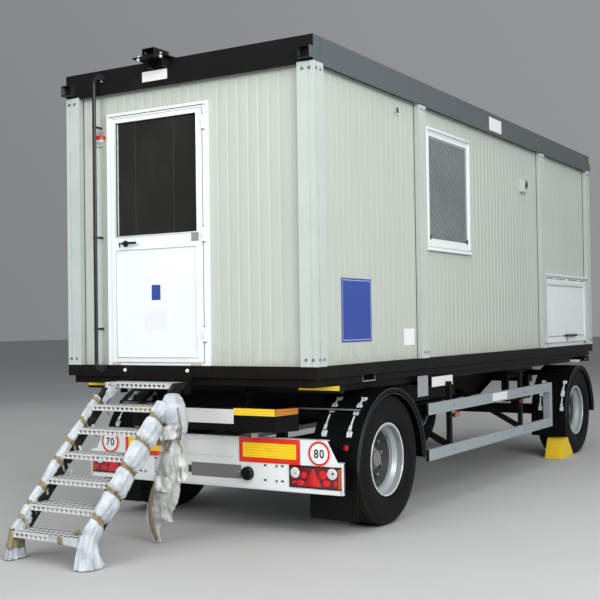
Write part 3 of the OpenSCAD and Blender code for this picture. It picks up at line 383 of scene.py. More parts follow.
finishes = {
    # the fascia's long sides get a lighter colour as a painted reflection of the sky
    "fascia": paintedSteel("fasciaBlack", tone(20, 19, 18), 0.34, dust=0.04, dustColour=tone(84, 80, 76), peel=0.0002,
                           scratch=0.02, gloss=0.36, sideSheen=tone(88, 95, 99)),
    "post": paintedSteel("postGrey", tone(184, 193, 189), 0.42, dust=0.14, dustColour=tone(156, 158, 150),
                         scratch=0.05),
    "panel": panelCoat("panelBeige", tone(183, 189, 182)),
    "base": paintedSteel("baseBlack", tone(21, 20, 19), 0.5, dust=0.10, dustColour=tone(70, 66, 60), scratch=0.03,
                         gloss=0.12),
    "floor": boardFloor("floorSheet"),
    "ceiling": plastic("ceilingWhite", tone(214, 214, 208), 0.5),
    "roof": bareMetal("roofZinc", tone(168, 172, 174), 0.4, spangle=0.4),
    "joinery": plastic("joineryWhite", tone(231, 237, 238), 0.26, grime=0.05, coat=0.35),
    "doorGlass": darkGlass("doorGlassTint"),
    "mesh": insectMesh("insectMeshGrey"),
    "handle": plastic("handleBlack", tone(26, 27, 29), 0.3),
    "conduit": plastic("conduitBlack", tone(34, 34, 42), 0.3, grime=0.2),
    "beaconRed": plastic("beaconRed", tone(196, 34, 38), 0.3),
    "vent": plastic("ventGrey", tone(196, 200, 198), 0.4),
    "stair": paintedSteel("stairBlack", tone(34, 34, 35), 0.4, dust=0.18, dustColour=tone(84, 80, 74), gloss=0.2),
    "treadTooth": bareMetal("treadToothZinc", tone(222, 224, 223), 0.40, dull=0.12, metal=0.20),
    # lighter grey for the mudguard lips: a painted highlight along their edges
    "guardLip": plastic("guardLip", tone(40, 44, 49), 0.36, gloss=0.4),
    "film": stretchFilm("wrapFilm"),
    "filmThin": stretchFilm("looseFilm", tone(158, 160, 157), tone(214, 216, 213), 0.92),
    "tape": brownTape("packingTape"),
    "chassis": paintedSteel("chassisBlack", tone(12, 12, 12), 0.46, dust=0.12, dustColour=tone(60, 57, 52),
                            low=(0.3, 1.0), gloss=0.16, scratch=0.05),
    "barWhite": paintedSteel("barWhite", tone(226, 231, 231), 0.28, dust=0.07, dustColour=tone(150, 146, 138), coat=0.4,
                             scratch=0.02),
    "boardRed": reflexSheet("boardRed", tone(226, 44, 24), 0.06),
    "boardYellow": reflexSheet("boardYellow", tone(252, 206, 22), 0.10),
    "tapeYellow": reflexSheet("tapeYellow", tone(255, 214, 44), 0.12),
    "tapeOrange": reflexSheet("tapeOrange", tone(226, 140, 30), 0.03),
    "lampRed": lampPlastic("lampRed", tone(92, 6, 10), 0.03),
    "lampBright": lampPlastic("lampBright", tone(208, 18, 26), 0.05),
    "lampShade": lampPlastic("lampShade", tone(168, 18, 26), 0.04),
    "lampClear": lampPlastic("lampClear", tone(206, 208, 208), 0.02),
    "lampAmber": lampPlastic("lampAmber", tone(178, 80, 28), 0.04),
    "guard": bareMetal("guardAluminium", tone(170, 182, 186), 0.42, grain=(1, 0.03, 1), dull=0.08, metal=0.45),
    "mudguard": plastic("mudguardBlack", tone(12, 13, 13), 0.40, grime=0.3, grain=0.0002, gloss=0.14),
    "chock": plastic("chockYellow", tone(232, 196, 44), 0.46, grime=0.3),
    "zincBright": bareMetal("zincBright", tone(238, 243, 246), 0.22, dull=0.10, metal=0.30),
    "stayTube": bareMetal("stayZinc", tone(150, 156, 160), 0.36, dull=0.2, metal=0.35),
    "hubGrey": paintedSteel("hubGrey", tone(138, 138, 134), 0.36, dust=0.2, dustColour=tone(104, 98, 90), metal=0.4),
    "nutSteel": bareMetal("nutSteel", tone(128, 128, 126), 0.34, dull=0.3, metal=0.7),
    "boltZinc": bareMetal("boltZinc", tone(176, 180, 182), 0.3, dull=0.3),
    "packer": plastic("packerBrown", tone(196, 168, 158), 0.6),
    "plateWhite": plastic("plateWhite", tone(232, 233, 234), 0.3, grime=0.06, coat=0.3),
    "plateGrey": plastic("plateGrey", tone(150, 154, 156), 0.4, grime=0.2),
    "numberGrey": plastic("numberPlateGrey", tone(116, 116, 114), 0.5, grime=0.3),
    "paper": plastic("paperWhite", tone(232, 232, 238), 0.6, grime=0.05),
    "paperLilac": plastic("paperLilac", tone(224, 226, 244), 0.6, grime=0.05),
    "poster": blueBoard("posterBlue"),
    "stickerBlue": plastic("stickerBlue", tone(52, 76, 146), 0.4),
    "stickerGrey": plastic("stickerGrey", tone(140, 142, 142), 0.4),
    "rubber": plastic("rubberBlack", tone(18, 18, 19), 0.6, grime=0.3, gloss=0.2),
    "tread": plastic("treadRubber", tone(26, 26, 26), 0.7, grime=0.2, grain=0.0003, gloss=0.15),
    "seal": plastic("sealDark", tone(58, 60, 62), 0.55),
    "ink": plastic("inkBlack", tone(28, 28, 32), 0.4, gloss=0.3),
    # near-black for the inside of a hole: painted shade
    "holeShadeBlack": plastic("holeShadeBlack", tone(8, 8, 8), 0.9, grime=0.0, gloss=0.05),
    "inkRed": reflexSheet("inkRed", tone(214, 30, 34), 0.04),
}
print("finishes mixed:", len(finishes))


# camera, light and floor

cameraPlan = {"place": (5.108, -10.264, 1.652), "turn": 31.07, "tilt": 1.26, "roll": 0.81, "lens": 63.6}


def placeCamera(plan):
    turn, tilt, roll = (math.radians(plan[k]) for k in ("turn", "tilt", "roll"))
    ahead = Vector((-math.sin(turn) * math.cos(tilt), math.cos(turn) * math.cos(tilt), math.sin(tilt)))
    right = Vector((math.cos(turn), math.sin(turn), 0))
    up = right.cross(ahead)
    right, up = right * math.cos(roll) - up * math.sin(roll), right * math.sin(roll) + up * math.cos(roll)
    camera = bpy.data.objects.new("photoCamera", bpy.data.cameras.new("photoCamera"))
    camera.data.lens = plan["lens"]
    camera.data.sensor_width = 36
    camera.data.clip_end = 200
    camera.matrix_world = Matrix((right, up, -ahead)).transposed().to_4x4()
    camera.location = plan["place"]
    bpy.context.scene.collection.objects.link(camera)
    bpy.context.scene.camera = camera


lightPlan = {   # place, point looked at, width, height, watts, seen in gloss, colour
    "skyPanel": ((2.0, -3.0, 13.0), (0, 0, 0), 16.0, 20.0, 1350, False, (1.0, 0.995, 0.985)),
    "streetSide": ((10.5, -8.5, 6.5), (0, -1.0, 2.0), 8.0, 6.0, 1270, True, (1.0, 0.995, 0.985)),
    "farSide": ((12.0, 14.0, 6.0), (1.2, 0.0, 2.6), 16.0, 9.0, 360, False, (0.97, 0.99, 1.0)),
    "doorSide": ((-2.0, -16.0, 6.5), (0, -3.0, 1.8), 9.0, 6.0, 1040, False, (1.0, 0.995, 0.99)),
    "backFill": ((-12.0, 2.0, 5.0), (0, 0, 2.0), 9.0, 5.0, 90, False, (0.96, 0.98, 1.0)),
}


def placeLights(plan):
    for name, (place, target, width, height, watts, glossy, colour) in plan.items():
        light = bpy.data.lights.new(name, "AREA")
        light.shape, light.size, light.size_y = "RECTANGLE", width, height
        light.energy, light.color = watts, colour
        lamp = bpy.data.objects.new(name, light)
        lamp.location = place
        lamp.visible_glossy = glossy
        lamp.rotation_mode = "QUATERNION"
        lamp.rotation_quaternion = (Vector(target) - Vector(place)).to_track_quat("-Z", "Y")
        bpy.context.scene.collection.objects.link(lamp)
    world = bpy.data.worlds.new("studio")
    bpy.context.scene.world = world
    world.use_nodes = True
    sky = world.node_tree.nodes["Background"]
    way = Wire(world.node_tree.nodes.new("ShaderNodeTexCoord").outputs["Generated"])
    x, y, z = axes(way)
    bright = spread(x * 0.55 + y * 0.45 + z * 0.5 + 0.3, -0.4, 1.1)
    feedSky = between(bright, tone(176, 180, 186), tone(236, 238, 240))
    world.node_tree.links.new(feedSky.socket, sky.inputs["Color"])
    sky.inputs["Strength"].default_value = 0.38
    bpy.context.scene.view_settings.view_transform = "Standard"     # keeps blacks and reds as strong as they are


def layFloor():
    shape = bmesh.new()
    bmesh.ops.create_grid(shape, x_segments=1, y_segments=1, size=90)
    mesh = bpy.data.meshes.new("studioFloor")
    shape.to_mesh(mesh)
    shape.free()
    floor = bpy.data.objects.new("studioFloor", mesh)
    floor.location.z = -0.001
    material, shader, place = newFinish("floorPale")
    slow = cloud(place, 1.4, 4.0)
    feed(shader, colour=between(slow, tone(168, 169, 169), tone(180, 181, 181)), rough=0.8, gloss=0.15)
    mesh.materials.append(material)
    bpy.context.scene.collection.objects.link(floor)


placeCamera(cameraPlan)
placeLights(lightPlan)
layFloor()
print("camera, lights and floor placed")


# finishes on the CAD pieces

dressing = {
    "fascia": ["roof_frame", "mast_bracket", "lifting_brackets"],
    "roof": ["roof_deck"],
    "ceiling": ["ceiling"],
    "post": ["corner_posts", "side_posts"],
    "panel": ["rear_wall_left", "rear_wall_right", "rear_wall_head", "right_wall_rear", "right_wall_middle",
              "right_wall_front", "left_wall", "front_wall"],
    "base": ["base_frame", "floor_joists", "sub_frame", "stair_hanger"],
    "floor": ["floor_deck"],
    "joinery": ["door_frame", "door_leaf", "window_frame", "hatch_frame", "hatch_leaf"],
    "doorGlass": ["door_glass"],
    "mesh": ["window_pane"],
    "handle": ["door_handle", "hatch_handle"],
    "conduit": ["conduit_pipe"],
    "vent": ["wall_vents"],
    "beaconRed": ["beacon"],
    "stair": ["stair_stringers"],
    "chassis": ["chassis_beams", "swap_frame", "rear_axle", "front_axle", "turntable_ring", "dolly_frame", "drawbar",
                "air_tanks"],
    "barWhite": ["rear_bar"],
    "boardRed": ["marker_boards"],
    "lampRed": ["tail_lamps"],
    "guard": ["side_guards"],
    "mudguard": ["rear_mudguards", "front_mudguards"],
    "chock": ["wheel_chock"],
    "film": ["stair_wrap_left", "stair_wrap_right", "film_bundle"],
}


def dress(node, material):
    if cad[node].material_slots:
        for slot in cad[node].material_slots:
            slot.material = material
    else:
        cad[node].data.materials.append(material)


for finish, members in dressing.items():
    for node in members:
        dress(node, finishes[finish])

treadLow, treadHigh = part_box("stair_treads")
treadRise = (treadHigh.z - treadLow.z - treadHeight) / (treadCount - 1)
dress("stair_treads", serratedZinc("serratedZinc", treadLow, treadRise, treadGoing))
wheelHubs = {}
for end in ("rear_right", "rear_left", "front_right", "front_left"):
    low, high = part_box("tyre_" + end)
    wheelHubs[end] = (low + high) / 2
    dress("tyre_" + end, tyreRubber("tyre" + end.title().replace("_", ""), wheelHubs[end]))
    dress("rim_" + end, wheelPaint("rim" + end.title().replace("_", ""), wheelHubs[end]))
print("CAD pieces dressed")


# shapes

def addBlock(shape, low, high, edge=0.0):           # a block from corner to corner, with its edges eased
    low, high = Vector(low), Vector(high)
    size = high - low
    made = bmesh.ops.create_cube(shape, size=1.0)["verts"]
    for v in made:
        v.co = low + Vector((v.co[i] + 0.5) * size[i] for i in range(3))
    if edge:
        edges = list({e for v in made for e in v.link_edges})
        bmesh.ops.bevel(shape, geom=edges, offset=edge, segments=2, affect="EDGES", profile=0.6)


def frameOn(axis):                                  # a turn that stands +Z on the given direction
    return Vector(axis).to_track_quat("Z", "Y").to_matrix().to_4x4()


def addRound(shape, place, axis, profile, sides=32):
    # a turned piece: the profile is (radius, height) along the axis, closed at radius 0
    turn = Matrix.Translation(place) @ frameOn(axis)
    rings = []
    for radius, height in profile:
        if radius < 1e-6:
            rings.append([shape.verts.new(turn @ Vector((0, 0, height)))])
        else:
            rings.append([shape.verts.new(turn @ Vector((radius * math.cos(a), radius * math.sin(a), height)))
                          for a in (2 * math.pi * i / sides for i in range(sides))])
    for first, second in zip(rings, rings[1:]):
        for i in range(sides):
            j = (i + 1) % sides
            if len(first) == 1 and len(second) > 1:
                shape.faces.new((first[0], second[j], second[i]))
            elif len(second) == 1 and len(first) > 1:
                shape.faces.new((first[i], first[j], second[0]))
            elif len(first) > 1:
                shape.faces.new((first[i], first[j], second[j], second[i]))


def addSlab(shape, outline, normal, depth):         # a flat outline pushed out along its normal
    normal = Vector(normal)
    base = [shape.verts.new(p) for p in outline]
    top = [shape.verts.new(Vector(p) + normal * depth) for p in outline]
    count = len(outline)
    shape.faces.new(base[::-1])
    shape.faces.new(top)
    for i in range(count):
        j = (i + 1) % count
        shape.faces.new((base[i], base[j], top[j], top[i]))


def addRod(shape, path, radius, sides=12):          # a round rod through the points of a path
    path = [Vector(p) for p in path]
    rings, last = [], None
    for i, point in enumerate(path):
        ahead = (path[min(i + 1, len(path) - 1)] - path[max(i - 1, 0)]).normalized()
        side = ahead.cross(last) if last is not None else ahead.cross(Vector((0.13, 0.41, 0.9)))
        side = side.normalized() if last is None else (last - ahead * last.dot(ahead)).normalized()
        last = side
        other = ahead.cross(side)
        rings.append([shape.verts.new(point + (side * math.cos(a) + other * math.sin(a)) * radius)
                      for a in (2 * math.pi * k / sides for k in range(sides))])
    for first, second in zip(rings, rings[1:]):
        for k in range(sides):
            j = (k + 1) % sides
            shape.faces.new((first[k], first[j], second[j], second[k]))
    shape.faces.new(rings[0][::-1])
    shape.faces.new(rings[-1])


def arc(centre, radius, start, end, steps, x):      # points of an arc in the YZ plane, degrees from +Y
    return [(x, centre[0] + radius * math.cos(math.radians(a)), centre[1] + radius * math.sin(math.radians(a)))
            for a in (start + (end - start) * i / steps for i in range(steps + 1))]


def setPiece(name, shape, finish, body, smooth=None):
    # the finished mesh becomes a piece that rides on a body; smooth is the angle under which edges blend
    bmesh.ops.recalc_face_normals(shape, faces=shape.faces)
    mesh = bpy.data.meshes.new(name)
    shape.to_mesh(mesh)
    shape.free()
    if smooth:
        for face in mesh.polygons:
            face.use_smooth = True
        mesh.set_sharp_from_angle(angle=math.radians(smooth))
    mesh.materials.append(finishes[finish])
    piece = bpy.data.objects.new(name, mesh)
    bpy.context.scene.collection.objects.link(piece)
    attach(piece, body)
    return piece


def addMirrored(shape, side, low, high, edge=0.0):  # a block given for the right side, set on the chosen side
    x = sorted((side * low[0], side * high[0]))
    addBlock(shape, (x[0], low[1], low[2]), (x[1], high[1], high[2]), edge)


def setBlocks(name, finish, blocks, edge=0.0, body="cabin", smooth=None):     # one piece of several blocks
    shape = bmesh.new()
    for low, high in blocks:
        addBlock(shape, low, high, edge)
    return setPiece(name, shape, finish, body, smooth)


def setRounds(name, finish, rounds, body="cabin", smooth=40):     # one piece of several turned parts
    shape = bmesh.new()
    for turned in rounds:
        addRound(shape, *turned)
    return setPiece(name, shape, finish, body, smooth)


def rectangle(axis, face, low, high, margin=0.0):   # a closed outline square to X (0) or Y (1)
    (a0, z0), (a1, z1) = low, high
    a0, z0, a1, z1 = a0 - margin, z0 - margin, a1 + margin, z1 + margin
    corners = ((a0, z0), (a1, z0), (a1, z1), (a0, z1), (a0, z0))
    return [(a, face, z) if axis else (face, a, z) for a, z in corners]


# pieces that repeat, by geometry nodes

def newTree(name, **sizes):             # a tree with named inputs, its input wires and its output node
    tree = bpy.data.node_groups.new(name, "GeometryNodeTree")
    kinds = {bool: "NodeSocketBool", int: "NodeSocketInt", float: "NodeSocketFloat", tuple: "NodeSocketVector"}
    tree.interface.new_socket("Points", in_out="INPUT", socket_type="NodeSocketGeometry")
    for label, value in sizes.items():
        socket = tree.interface.new_socket(label, in_out="INPUT", socket_type=kinds[type(value)])
        socket.default_value = value
    tree.interface.new_socket("Finish", in_out="INPUT", socket_type="NodeSocketMaterial")
    tree.interface.new_socket("Pieces", in_out="OUTPUT", socket_type="NodeSocketGeometry")
    inside, outside = tree.nodes.new("NodeGroupInput"), tree.nodes.new("NodeGroupOutput")
    return tree, {s.name: Wire(s) for s in inside.outputs if s.name}, outside


def closeTree(tree, pieces, wires, outside):
    real = pieces.node("GeometryNodeRealizeInstances", {}, {0: pieces})
    done = real.node("GeometryNodeSetMaterial", {}, {"Geometry": real, "Material": wires["Finish"]})
    tree.links.new(done.socket, outside.inputs[0])
    return tree


def join(*parts):
    made = parts[0].node("GeometryNodeJoinGeometry")
    for part in parts:
        part.socket.id_data.links.new(part.socket, made.socket.node.inputs[0])
    return made


def pointWay(points, name):             # a direction stored on the points
    return points.node("GeometryNodeInputNamedAttribute", {"data_type": "FLOAT_VECTOR"}, {"Name": name})


def facingTurn(points):                 # the turn that stands an instance on its point's own direction
    facing = pointWay(points, "facing")
    return facing.node("FunctionNodeAlignRotationToVector", {"axis": "Z"}, {"Vector": facing})


def raised(part, height):
    up = part.node("ShaderNodeCombineXYZ", {}, {2: height})
    return part.node("GeometryNodeTransform", {}, {"Geometry": part, "Translation": up})


def hexBoltTree():
    # a washer and a hexagon head on every point, each head at its own angle
    tree, wires, outside = newTree("hexBolts", Across=0.019, Height=0.008, Washer=0.013, Lift=0.002, Seed=3)
    points = wires["Points"]
    head = points.node("GeometryNodeMeshCylinder", {}, {"Vertices": 6, "Radius": wires["Across"] * 0.577,
                                                        "Depth": wires["Height"]})
    head = raised(head, wires["Height"] * 0.5 + wires["Lift"])
    tip = points.node("GeometryNodeMeshCone", {}, {"Vertices": 12, "Radius Top": wires["Across"] * 0.30,
                                                   "Radius Bottom": wires["Across"] * 0.42,
                                                   "Depth": wires["Height"] * 0.16})
    tip = raised(tip, wires["Height"] + wires["Lift"])
    washer = points.node("GeometryNodeMeshCylinder", {}, {"Vertices": 20, "Radius": wires["Washer"],
                                                          "Depth": wires["Lift"] * 1.2})
    washer = raised(washer, wires["Lift"] * 0.5)
    chance = points.node("FunctionNodeRandomValue", {"data_type": "FLOAT"}, {2: 0.0, 3: 1.05, "Seed": wires["Seed"]},
                         out=1)
    spun = points.node("GeometryNodeInstanceOnPoints", {}, {"Points": points, "Instance": join(head, tip, washer),
                                                            "Rotation": facingTurn(points)})
    angle = chance.node("ShaderNodeCombineXYZ", {}, {2: chance})
    spun = spun.node("GeometryNodeRotateInstances", {}, {"Instances": spun, "Rotation": angle})
    return closeTree(tree, spun, wires, outside)


def panScrewTree():
    # a domed screw or rivet head on every point
    tree, wires, outside = newTree("domeHeads", Radius=0.006, Dome=0.45)
    points = wires["Points"]
    dome = points.node("GeometryNodeMeshUVSphere", {}, {"Segments": 14, "Rings": 8, "Radius": wires["Radius"]})
    flat = dome.node("ShaderNodeCombineXYZ", {}, {0: 1.0, 1: 1.0, 2: wires["Dome"]})
    dome = dome.node("GeometryNodeTransform", {}, {"Geometry": dome, "Scale": flat})
    heads = points.node("GeometryNodeInstanceOnPoints", {}, {"Points": points, "Instance": dome,
                                                             "Rotation": facingTurn(points)})
    return closeTree(tree, heads, wires, outside)


def edgeSealTree():
    # a strip of a chosen width and thickness swept along the lines of a mesh
    tree, wires, outside = newTree("edgeSeal", Width=0.006, Rise=0.003, Rounding=0.004)
    line = wires["Points"].node("GeometryNodeMeshToCurve", {}, {0: wires["Points"]})
    line = line.node("GeometryNodeFilletCurve", {"mode": "POLY"}, {
        "Curve": line, "Count": 4, "Radius": wires["Rounding"], "Limit Radius": True})
    profile = line.node("GeometryNodeCurvePrimitiveQuadrilateral", {}, {"Width": wires["Width"],
                                                                        "Height": wires["Rise"]})
    swept = line.node("GeometryNodeCurveToMesh", {}, {"Curve": line, "Profile Curve": profile, "Fill Caps": True})
    return closeTree(tree, swept, wires, outside)


def blockRowTree():
    # small blocks on points, such as tyre shoulder lugs, each turned to its point's direction
    tree, wires, outside = newTree("blockRow", Size=(0.02, 0.01, 0.006))
    points = wires["Points"]
    cube = points.node("GeometryNodeMeshCube", {}, {"Size": wires["Size"]})
    turn = facingTurn(points)
    turn = turn.node("FunctionNodeAlignRotationToVector", {"axis": "X", "pivot_axis": "Z"},
                     {"Rotation": turn, "Vector": pointWay(points, "across")})
    rows = points.node("GeometryNodeInstanceOnPoints", {}, {"Points": points, "Instance": cube, "Rotation": turn})
    return closeTree(tree, rows, wires, outside)


trees = {"bolt": hexBoltTree(), "screw": panScrewTree(), "seal": edgeSealTree(), "lug": blockRowTree()}


def grow(name, tree, finish, body, slot, points=(), lines=(), across=(), **sizes):
    # feeds points (place, direction) or closed lines to a tree and keeps the result as a plain mesh
    mesh = bpy.data.meshes.new(name)
    if lines:
        places, edges = [], []
        for line in lines:
            loop = line[0] == line[-1]
            line = line[:-1] if loop else line
            start = len(places)
            places += line
            edges += [(start + i, start + (i + 1) % len(line)) for i in range(len(line) if loop else len(line) - 1)]
        mesh.from_pydata(places, edges, [])
    else:
        mesh.from_pydata([p for p, _ in points], [], [])
        for label, values in (("facing", [d for _, d in points]), ("across", across)):
            if values:
                layer = mesh.attributes.new(label, "FLOAT_VECTOR", "POINT")
                layer.data.foreach_set("vector", [c for d in values for c in d])
    seed = bpy.data.objects.new(name + "Seed", mesh)
    bpy.context.scene.collection.objects.link(seed)
    growth = seed.modifiers.new("grow", "NODES")
    growth.node_group = trees[tree]
    sizes["Finish"] = finishes[finish]
    for socket in trees[tree].interface.items_tree:
        if socket.in_out == "INPUT" and socket.name in sizes:
            growth[socket.identifier] = sizes[socket.name]
    ready = seed.evaluated_get(bpy.context.evaluated_depsgraph_get())
    made = bpy.data.meshes.new_from_object(ready)
    made.name = name
    piece = bpy.data.objects.new(name, made)
    bpy.context.scene.collection.objects.link(piece)
    bpy.data.objects.remove(seed)
    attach(piece, body)
    return piece


# cabin: bolts, plates, posters

postBolts = {"fromEnd": 0.052, "fromEdge": 0.034, "apart": 0.062, "sidePost": 1.66, "pair": 0.031,
             "Across": 0.017, "Height": 0.007, "Washer": 0.0115}


def boltSize(plan):
    return {k: plan[k] for k in ("Across", "Height", "Washer")}


def boltPosts(plan):
    points = []
    for z in (fasciaFoot - plan["fromEnd"], wallFoot + plan["fromEnd"]):
        for side in (-1, 1):
            for end in (-1, 1):         # corner posts, end face and side face
                for step in (plan["fromEdge"], plan["fromEdge"] + plan["apart"]):
                    points.append(((side * (sideFace - step), end * -rearFace, z), (0, end, 0)))
                    points.append(((side * sideFace, end * (-rearFace - step), z), (side, 0, 0)))
                for step in (-plan["pair"], plan["pair"]):      # side posts
                    points.append(((side * sideFace, end * plan["sidePost"] + step, z), (side, 0, 0)))
    grow("post_bolts", "bolt", "boltZinc", "cabin", "post_grey", points, **boltSize(plan))


platePlan = {   # name: finish, slot, low corner, high corner
    "fascia_plate": ("plateWhite", "joinery_white", (-0.388, -3.5775, 3.624), (-0.134, -3.575, 3.706)),
    "fascia_side_plate": ("plateWhite", "joinery_white", (1.220, -0.020, 3.600), (1.2225, 0.326, 3.735)),
    "crossmember_plate": ("plateWhite", "bar_white", (-0.158, -3.3635, 0.866), (0.321, -3.360, 0.981)),
    "rear_bar_plate": ("plateWhite", "bar_white", (-0.213, -3.2640, 0.594), (0.260, -3.260, 0.709)),
    "guard_plate": ("plateWhite", "guard_aluminium", (1.250, -0.140, 0.842), (1.2515, 0.280, 0.918)),
    "beam_plate": ("plateGrey", "chassis_black", (1.1800, -1.770, 0.990), (1.1816, -1.548, 1.172)),
    "beam_plate_long": ("plateWhite", "chassis_black", (1.1800, -1.465, 1.060), (1.1812, -0.990, 1.150)),
    "poster": ("poster", "panel_grey", (1.1650, -3.104, 1.500), (1.1690, -2.605, 2.000)),
    "wall_paper": ("paper", "panel_grey", (1.1650, -1.994, 1.449), (1.1685, -1.790, 1.592)),
    "number_plate_zone": ("numberGrey", "bar_white", (-0.171, -3.2625, 0.421), (0.321, -3.260, 0.531)),
}


def fixPlates(plan):
    for name, (finish, slot, low, high) in plan.items():
        setBlocks(name, finish, [(low, high)], 0.0008)


plateRivets = {"Radius": 0.0045, "Dome": 0.4}
rivetInset = 0.014


def rivetPlates(plan, plates):
    points, inset = [], rivetInset
    for name in ("crossmember_plate", "rear_bar_plate"):
        low, high = plates[name][2:]
        points += [((x, low[1], z), (0, -1, 0)) for x in (low[0] + inset, high[0] - inset)
                   for z in (low[2] + inset, high[2] - inset)]
    low, high = plates["beam_plate_long"][2:]
    points += [((high[0], y, z), (1, 0, 0)) for y in (low[1] + inset, high[1] - inset)
               for z in (low[2] + inset, high[2] - inset)]
    grow("plate_rivets", "screw", "boltZinc", "cabin", "bar_white", points, **plan)


boltPosts(postBolts)
fixPlates(platePlan)
rivetPlates(plateRivets, platePlan)

roofTrim = {"lip": 0.010, "drop": 0.014, "seams": (1.66, 3.47), "gap": 0.003}


def trimRoof(plan):
    # a folded drip edge under the fascia, dark, and the upstand's joints on the long sides
    shape = bmesh.new()
    drop, lip = plan["drop"], plan["lip"]
    for side in (-1, 1):
        addMirrored(shape, side, (sideFace - lip, -wallEnd, fasciaFoot - drop), (sideFace, wallEnd, fasciaFoot), 0.001)
        y = sorted((side * -rearFace, side * (-rearFace - lip)))
        addBlock(shape, (-wallHalf, y[0], fasciaFoot - drop), (wallHalf, y[1], fasciaFoot), 0.001)
        for seam in (end * seam for seam in plan["seams"] for end in (-1, 1)):
            addMirrored(shape, side, (sideFace, seam - plan["gap"], fasciaFoot + 0.002),
                        (sideFace + 0.0012, seam + plan["gap"], fasciaTop))
    setPiece("fascia_drip_edge", shape, "fascia", "cabin")


trimRoof(roofTrim)

sealPlan = {"Width": 0.010, "Rise": 0.006, "Rounding": 0.0}


def sealPanels(plan):
    # a grey bead down each panel edge where it meets a post, from the base up to the fascia
    lines, z0, z1 = [], wallFoot + 0.004, fasciaFoot - 0.018
    for side in (-1, 1):
        x = side * (panelSide + 0.001)
        for bay in ((-wallEnd, -1.7325), (-1.5875, 1.5875), (1.7325, wallEnd)):
            lines += [[(x, y, z0), (x, y, z1)] for y in bay]
        for end in (-1, 1):
            y = end * (-panelRear + 0.001)
            lines.append([(side * wallHalf, y, z0), (side * wallHalf, y, z1)])
    grow("panel_seals", "seal", "seal", "cabin", "post_grey", lines=lines, **plan)


sealPanels(sealPlan)


# door

doorPlan = {"face": -3.550, "pane": -3.5398, "glass": ((-0.692, 2.392), (0.122, 3.322)),
            "panel": ((-0.692, 1.400), (0.122, 2.273)), "rebate": ((-0.751, 1.352), (0.181, 3.363)),
            "topLine": ((-0.775, -3.5462, 3.385), (0.205, -3.5462, 3.385)), "glassReflectionLines": (-0.501, -0.108),
            "frame": -3.5445, "sticker": -3.542, "lock": (-0.664, 2.318)}


def dressDoor(plan):
    face, pane, glass = plan["face"], plan["pane"], plan["glass"]
    (gx0, gz0), (_, gz1) = glass
    grow("door_glass_gasket", "seal", "rubber", "door", "door_glass", lines=[rectangle(1, face + 0.001, *glass)],
         Width=0.007, Rise=0.005, Rounding=0.004)
    grow("door_panel_bead", "seal", "joinery", "door", "joinery_white",
         lines=[rectangle(1, face - 0.0005, *plan["panel"], 0.004), rectangle(1, face - 0.001, *glass, 0.009)],
         Width=0.011, Rise=0.007, Rounding=0.002)
    grow("door_frame_gasket", "seal", "seal", "cabin", "joinery_white",
         lines=[rectangle(1, plan["frame"], *plan["rebate"])], Width=0.004, Rise=0.003, Rounding=0.002)
    grow("door_top_line", "seal", "rubber", "cabin", "joinery_white", lines=[list(plan["topLine"])],
         Width=0.007, Rise=0.004, Rounding=0.0)
    # pale spacer bar at the left edge of the glazing, and two faint vertical lines on the glazing as a painted
    # reflection
    setBlocks("door_glass_spacer", "zincBright",
              [((gx0 + 0.004, -3.5415, gz0 + 0.004), (gx0 + 0.013, pane, gz1 - 0.004))], body="door")
    setBlocks("door_glass_lines", "seal",
              [((x, -3.5404, gz0 + 0.006), (x + 0.0035, pane, gz1 - 0.006)) for x in plan["glassReflectionLines"]],
              body="door")
    x, z = plan["lock"]
    shape = bmesh.new()                 # keyhole plate
    addRound(shape, (x, face, z + 0.008), (0, -1, 0), [(0.0, 0.0), (0.012, 0.0), (0.012, 0.003), (0.0, 0.004)], 20)
    addBlock(shape, (x - 0.006, face - 0.004, z - 0.022), (x + 0.006, face, z + 0.004), 0.001)
    setPiece("door_keyhole", shape, "seal", "door", smooth=35)
    for name, finish, y, low, high in (
            ("door_sticker_blue", "stickerBlue", plan["sticker"], (-0.341, 1.856), (-0.251, 1.979)),
            ("door_paper", "paperLilac", plan["sticker"], (-0.412, 1.614), (-0.184, 1.779)),
            ("door_sticker_grey", "stickerGrey", face, (0.069, 2.312), (0.142, 2.380))):
        setBlocks(name, finish, [((low[0], y - 0.0012, low[1]), (high[0], y + 0.001, high[1]))],
                  0.0004, "door")


dressDoor(doorPlan)

hingePins = {"heights": (1.520, 2.305, 3.190), "x": 0.190, "y": -3.556, "length": 0.115,
             "cap": [(0.0085, 0.0), (0.0085, 0.003), (0.006, 0.007), (0.0, 0.008)]}


def finishHinges(plan):                 # turned caps over and under each hinge barrel
    setRounds("door_hinge_caps", "seal",
              [((plan["x"], plan["y"], z + rise), (0, 0, way), plan["cap"], 18)
               for z in plan["heights"] for rise, way in ((plan["length"], 1), (0, -1))])


finishHinges(hingePins)


# window and hatch

windowPlan = {"face": 1.185, "mesh": 1.1655, "opening": ((-1.445, 2.390), (-0.545, 3.350)), "sash": 0.036}


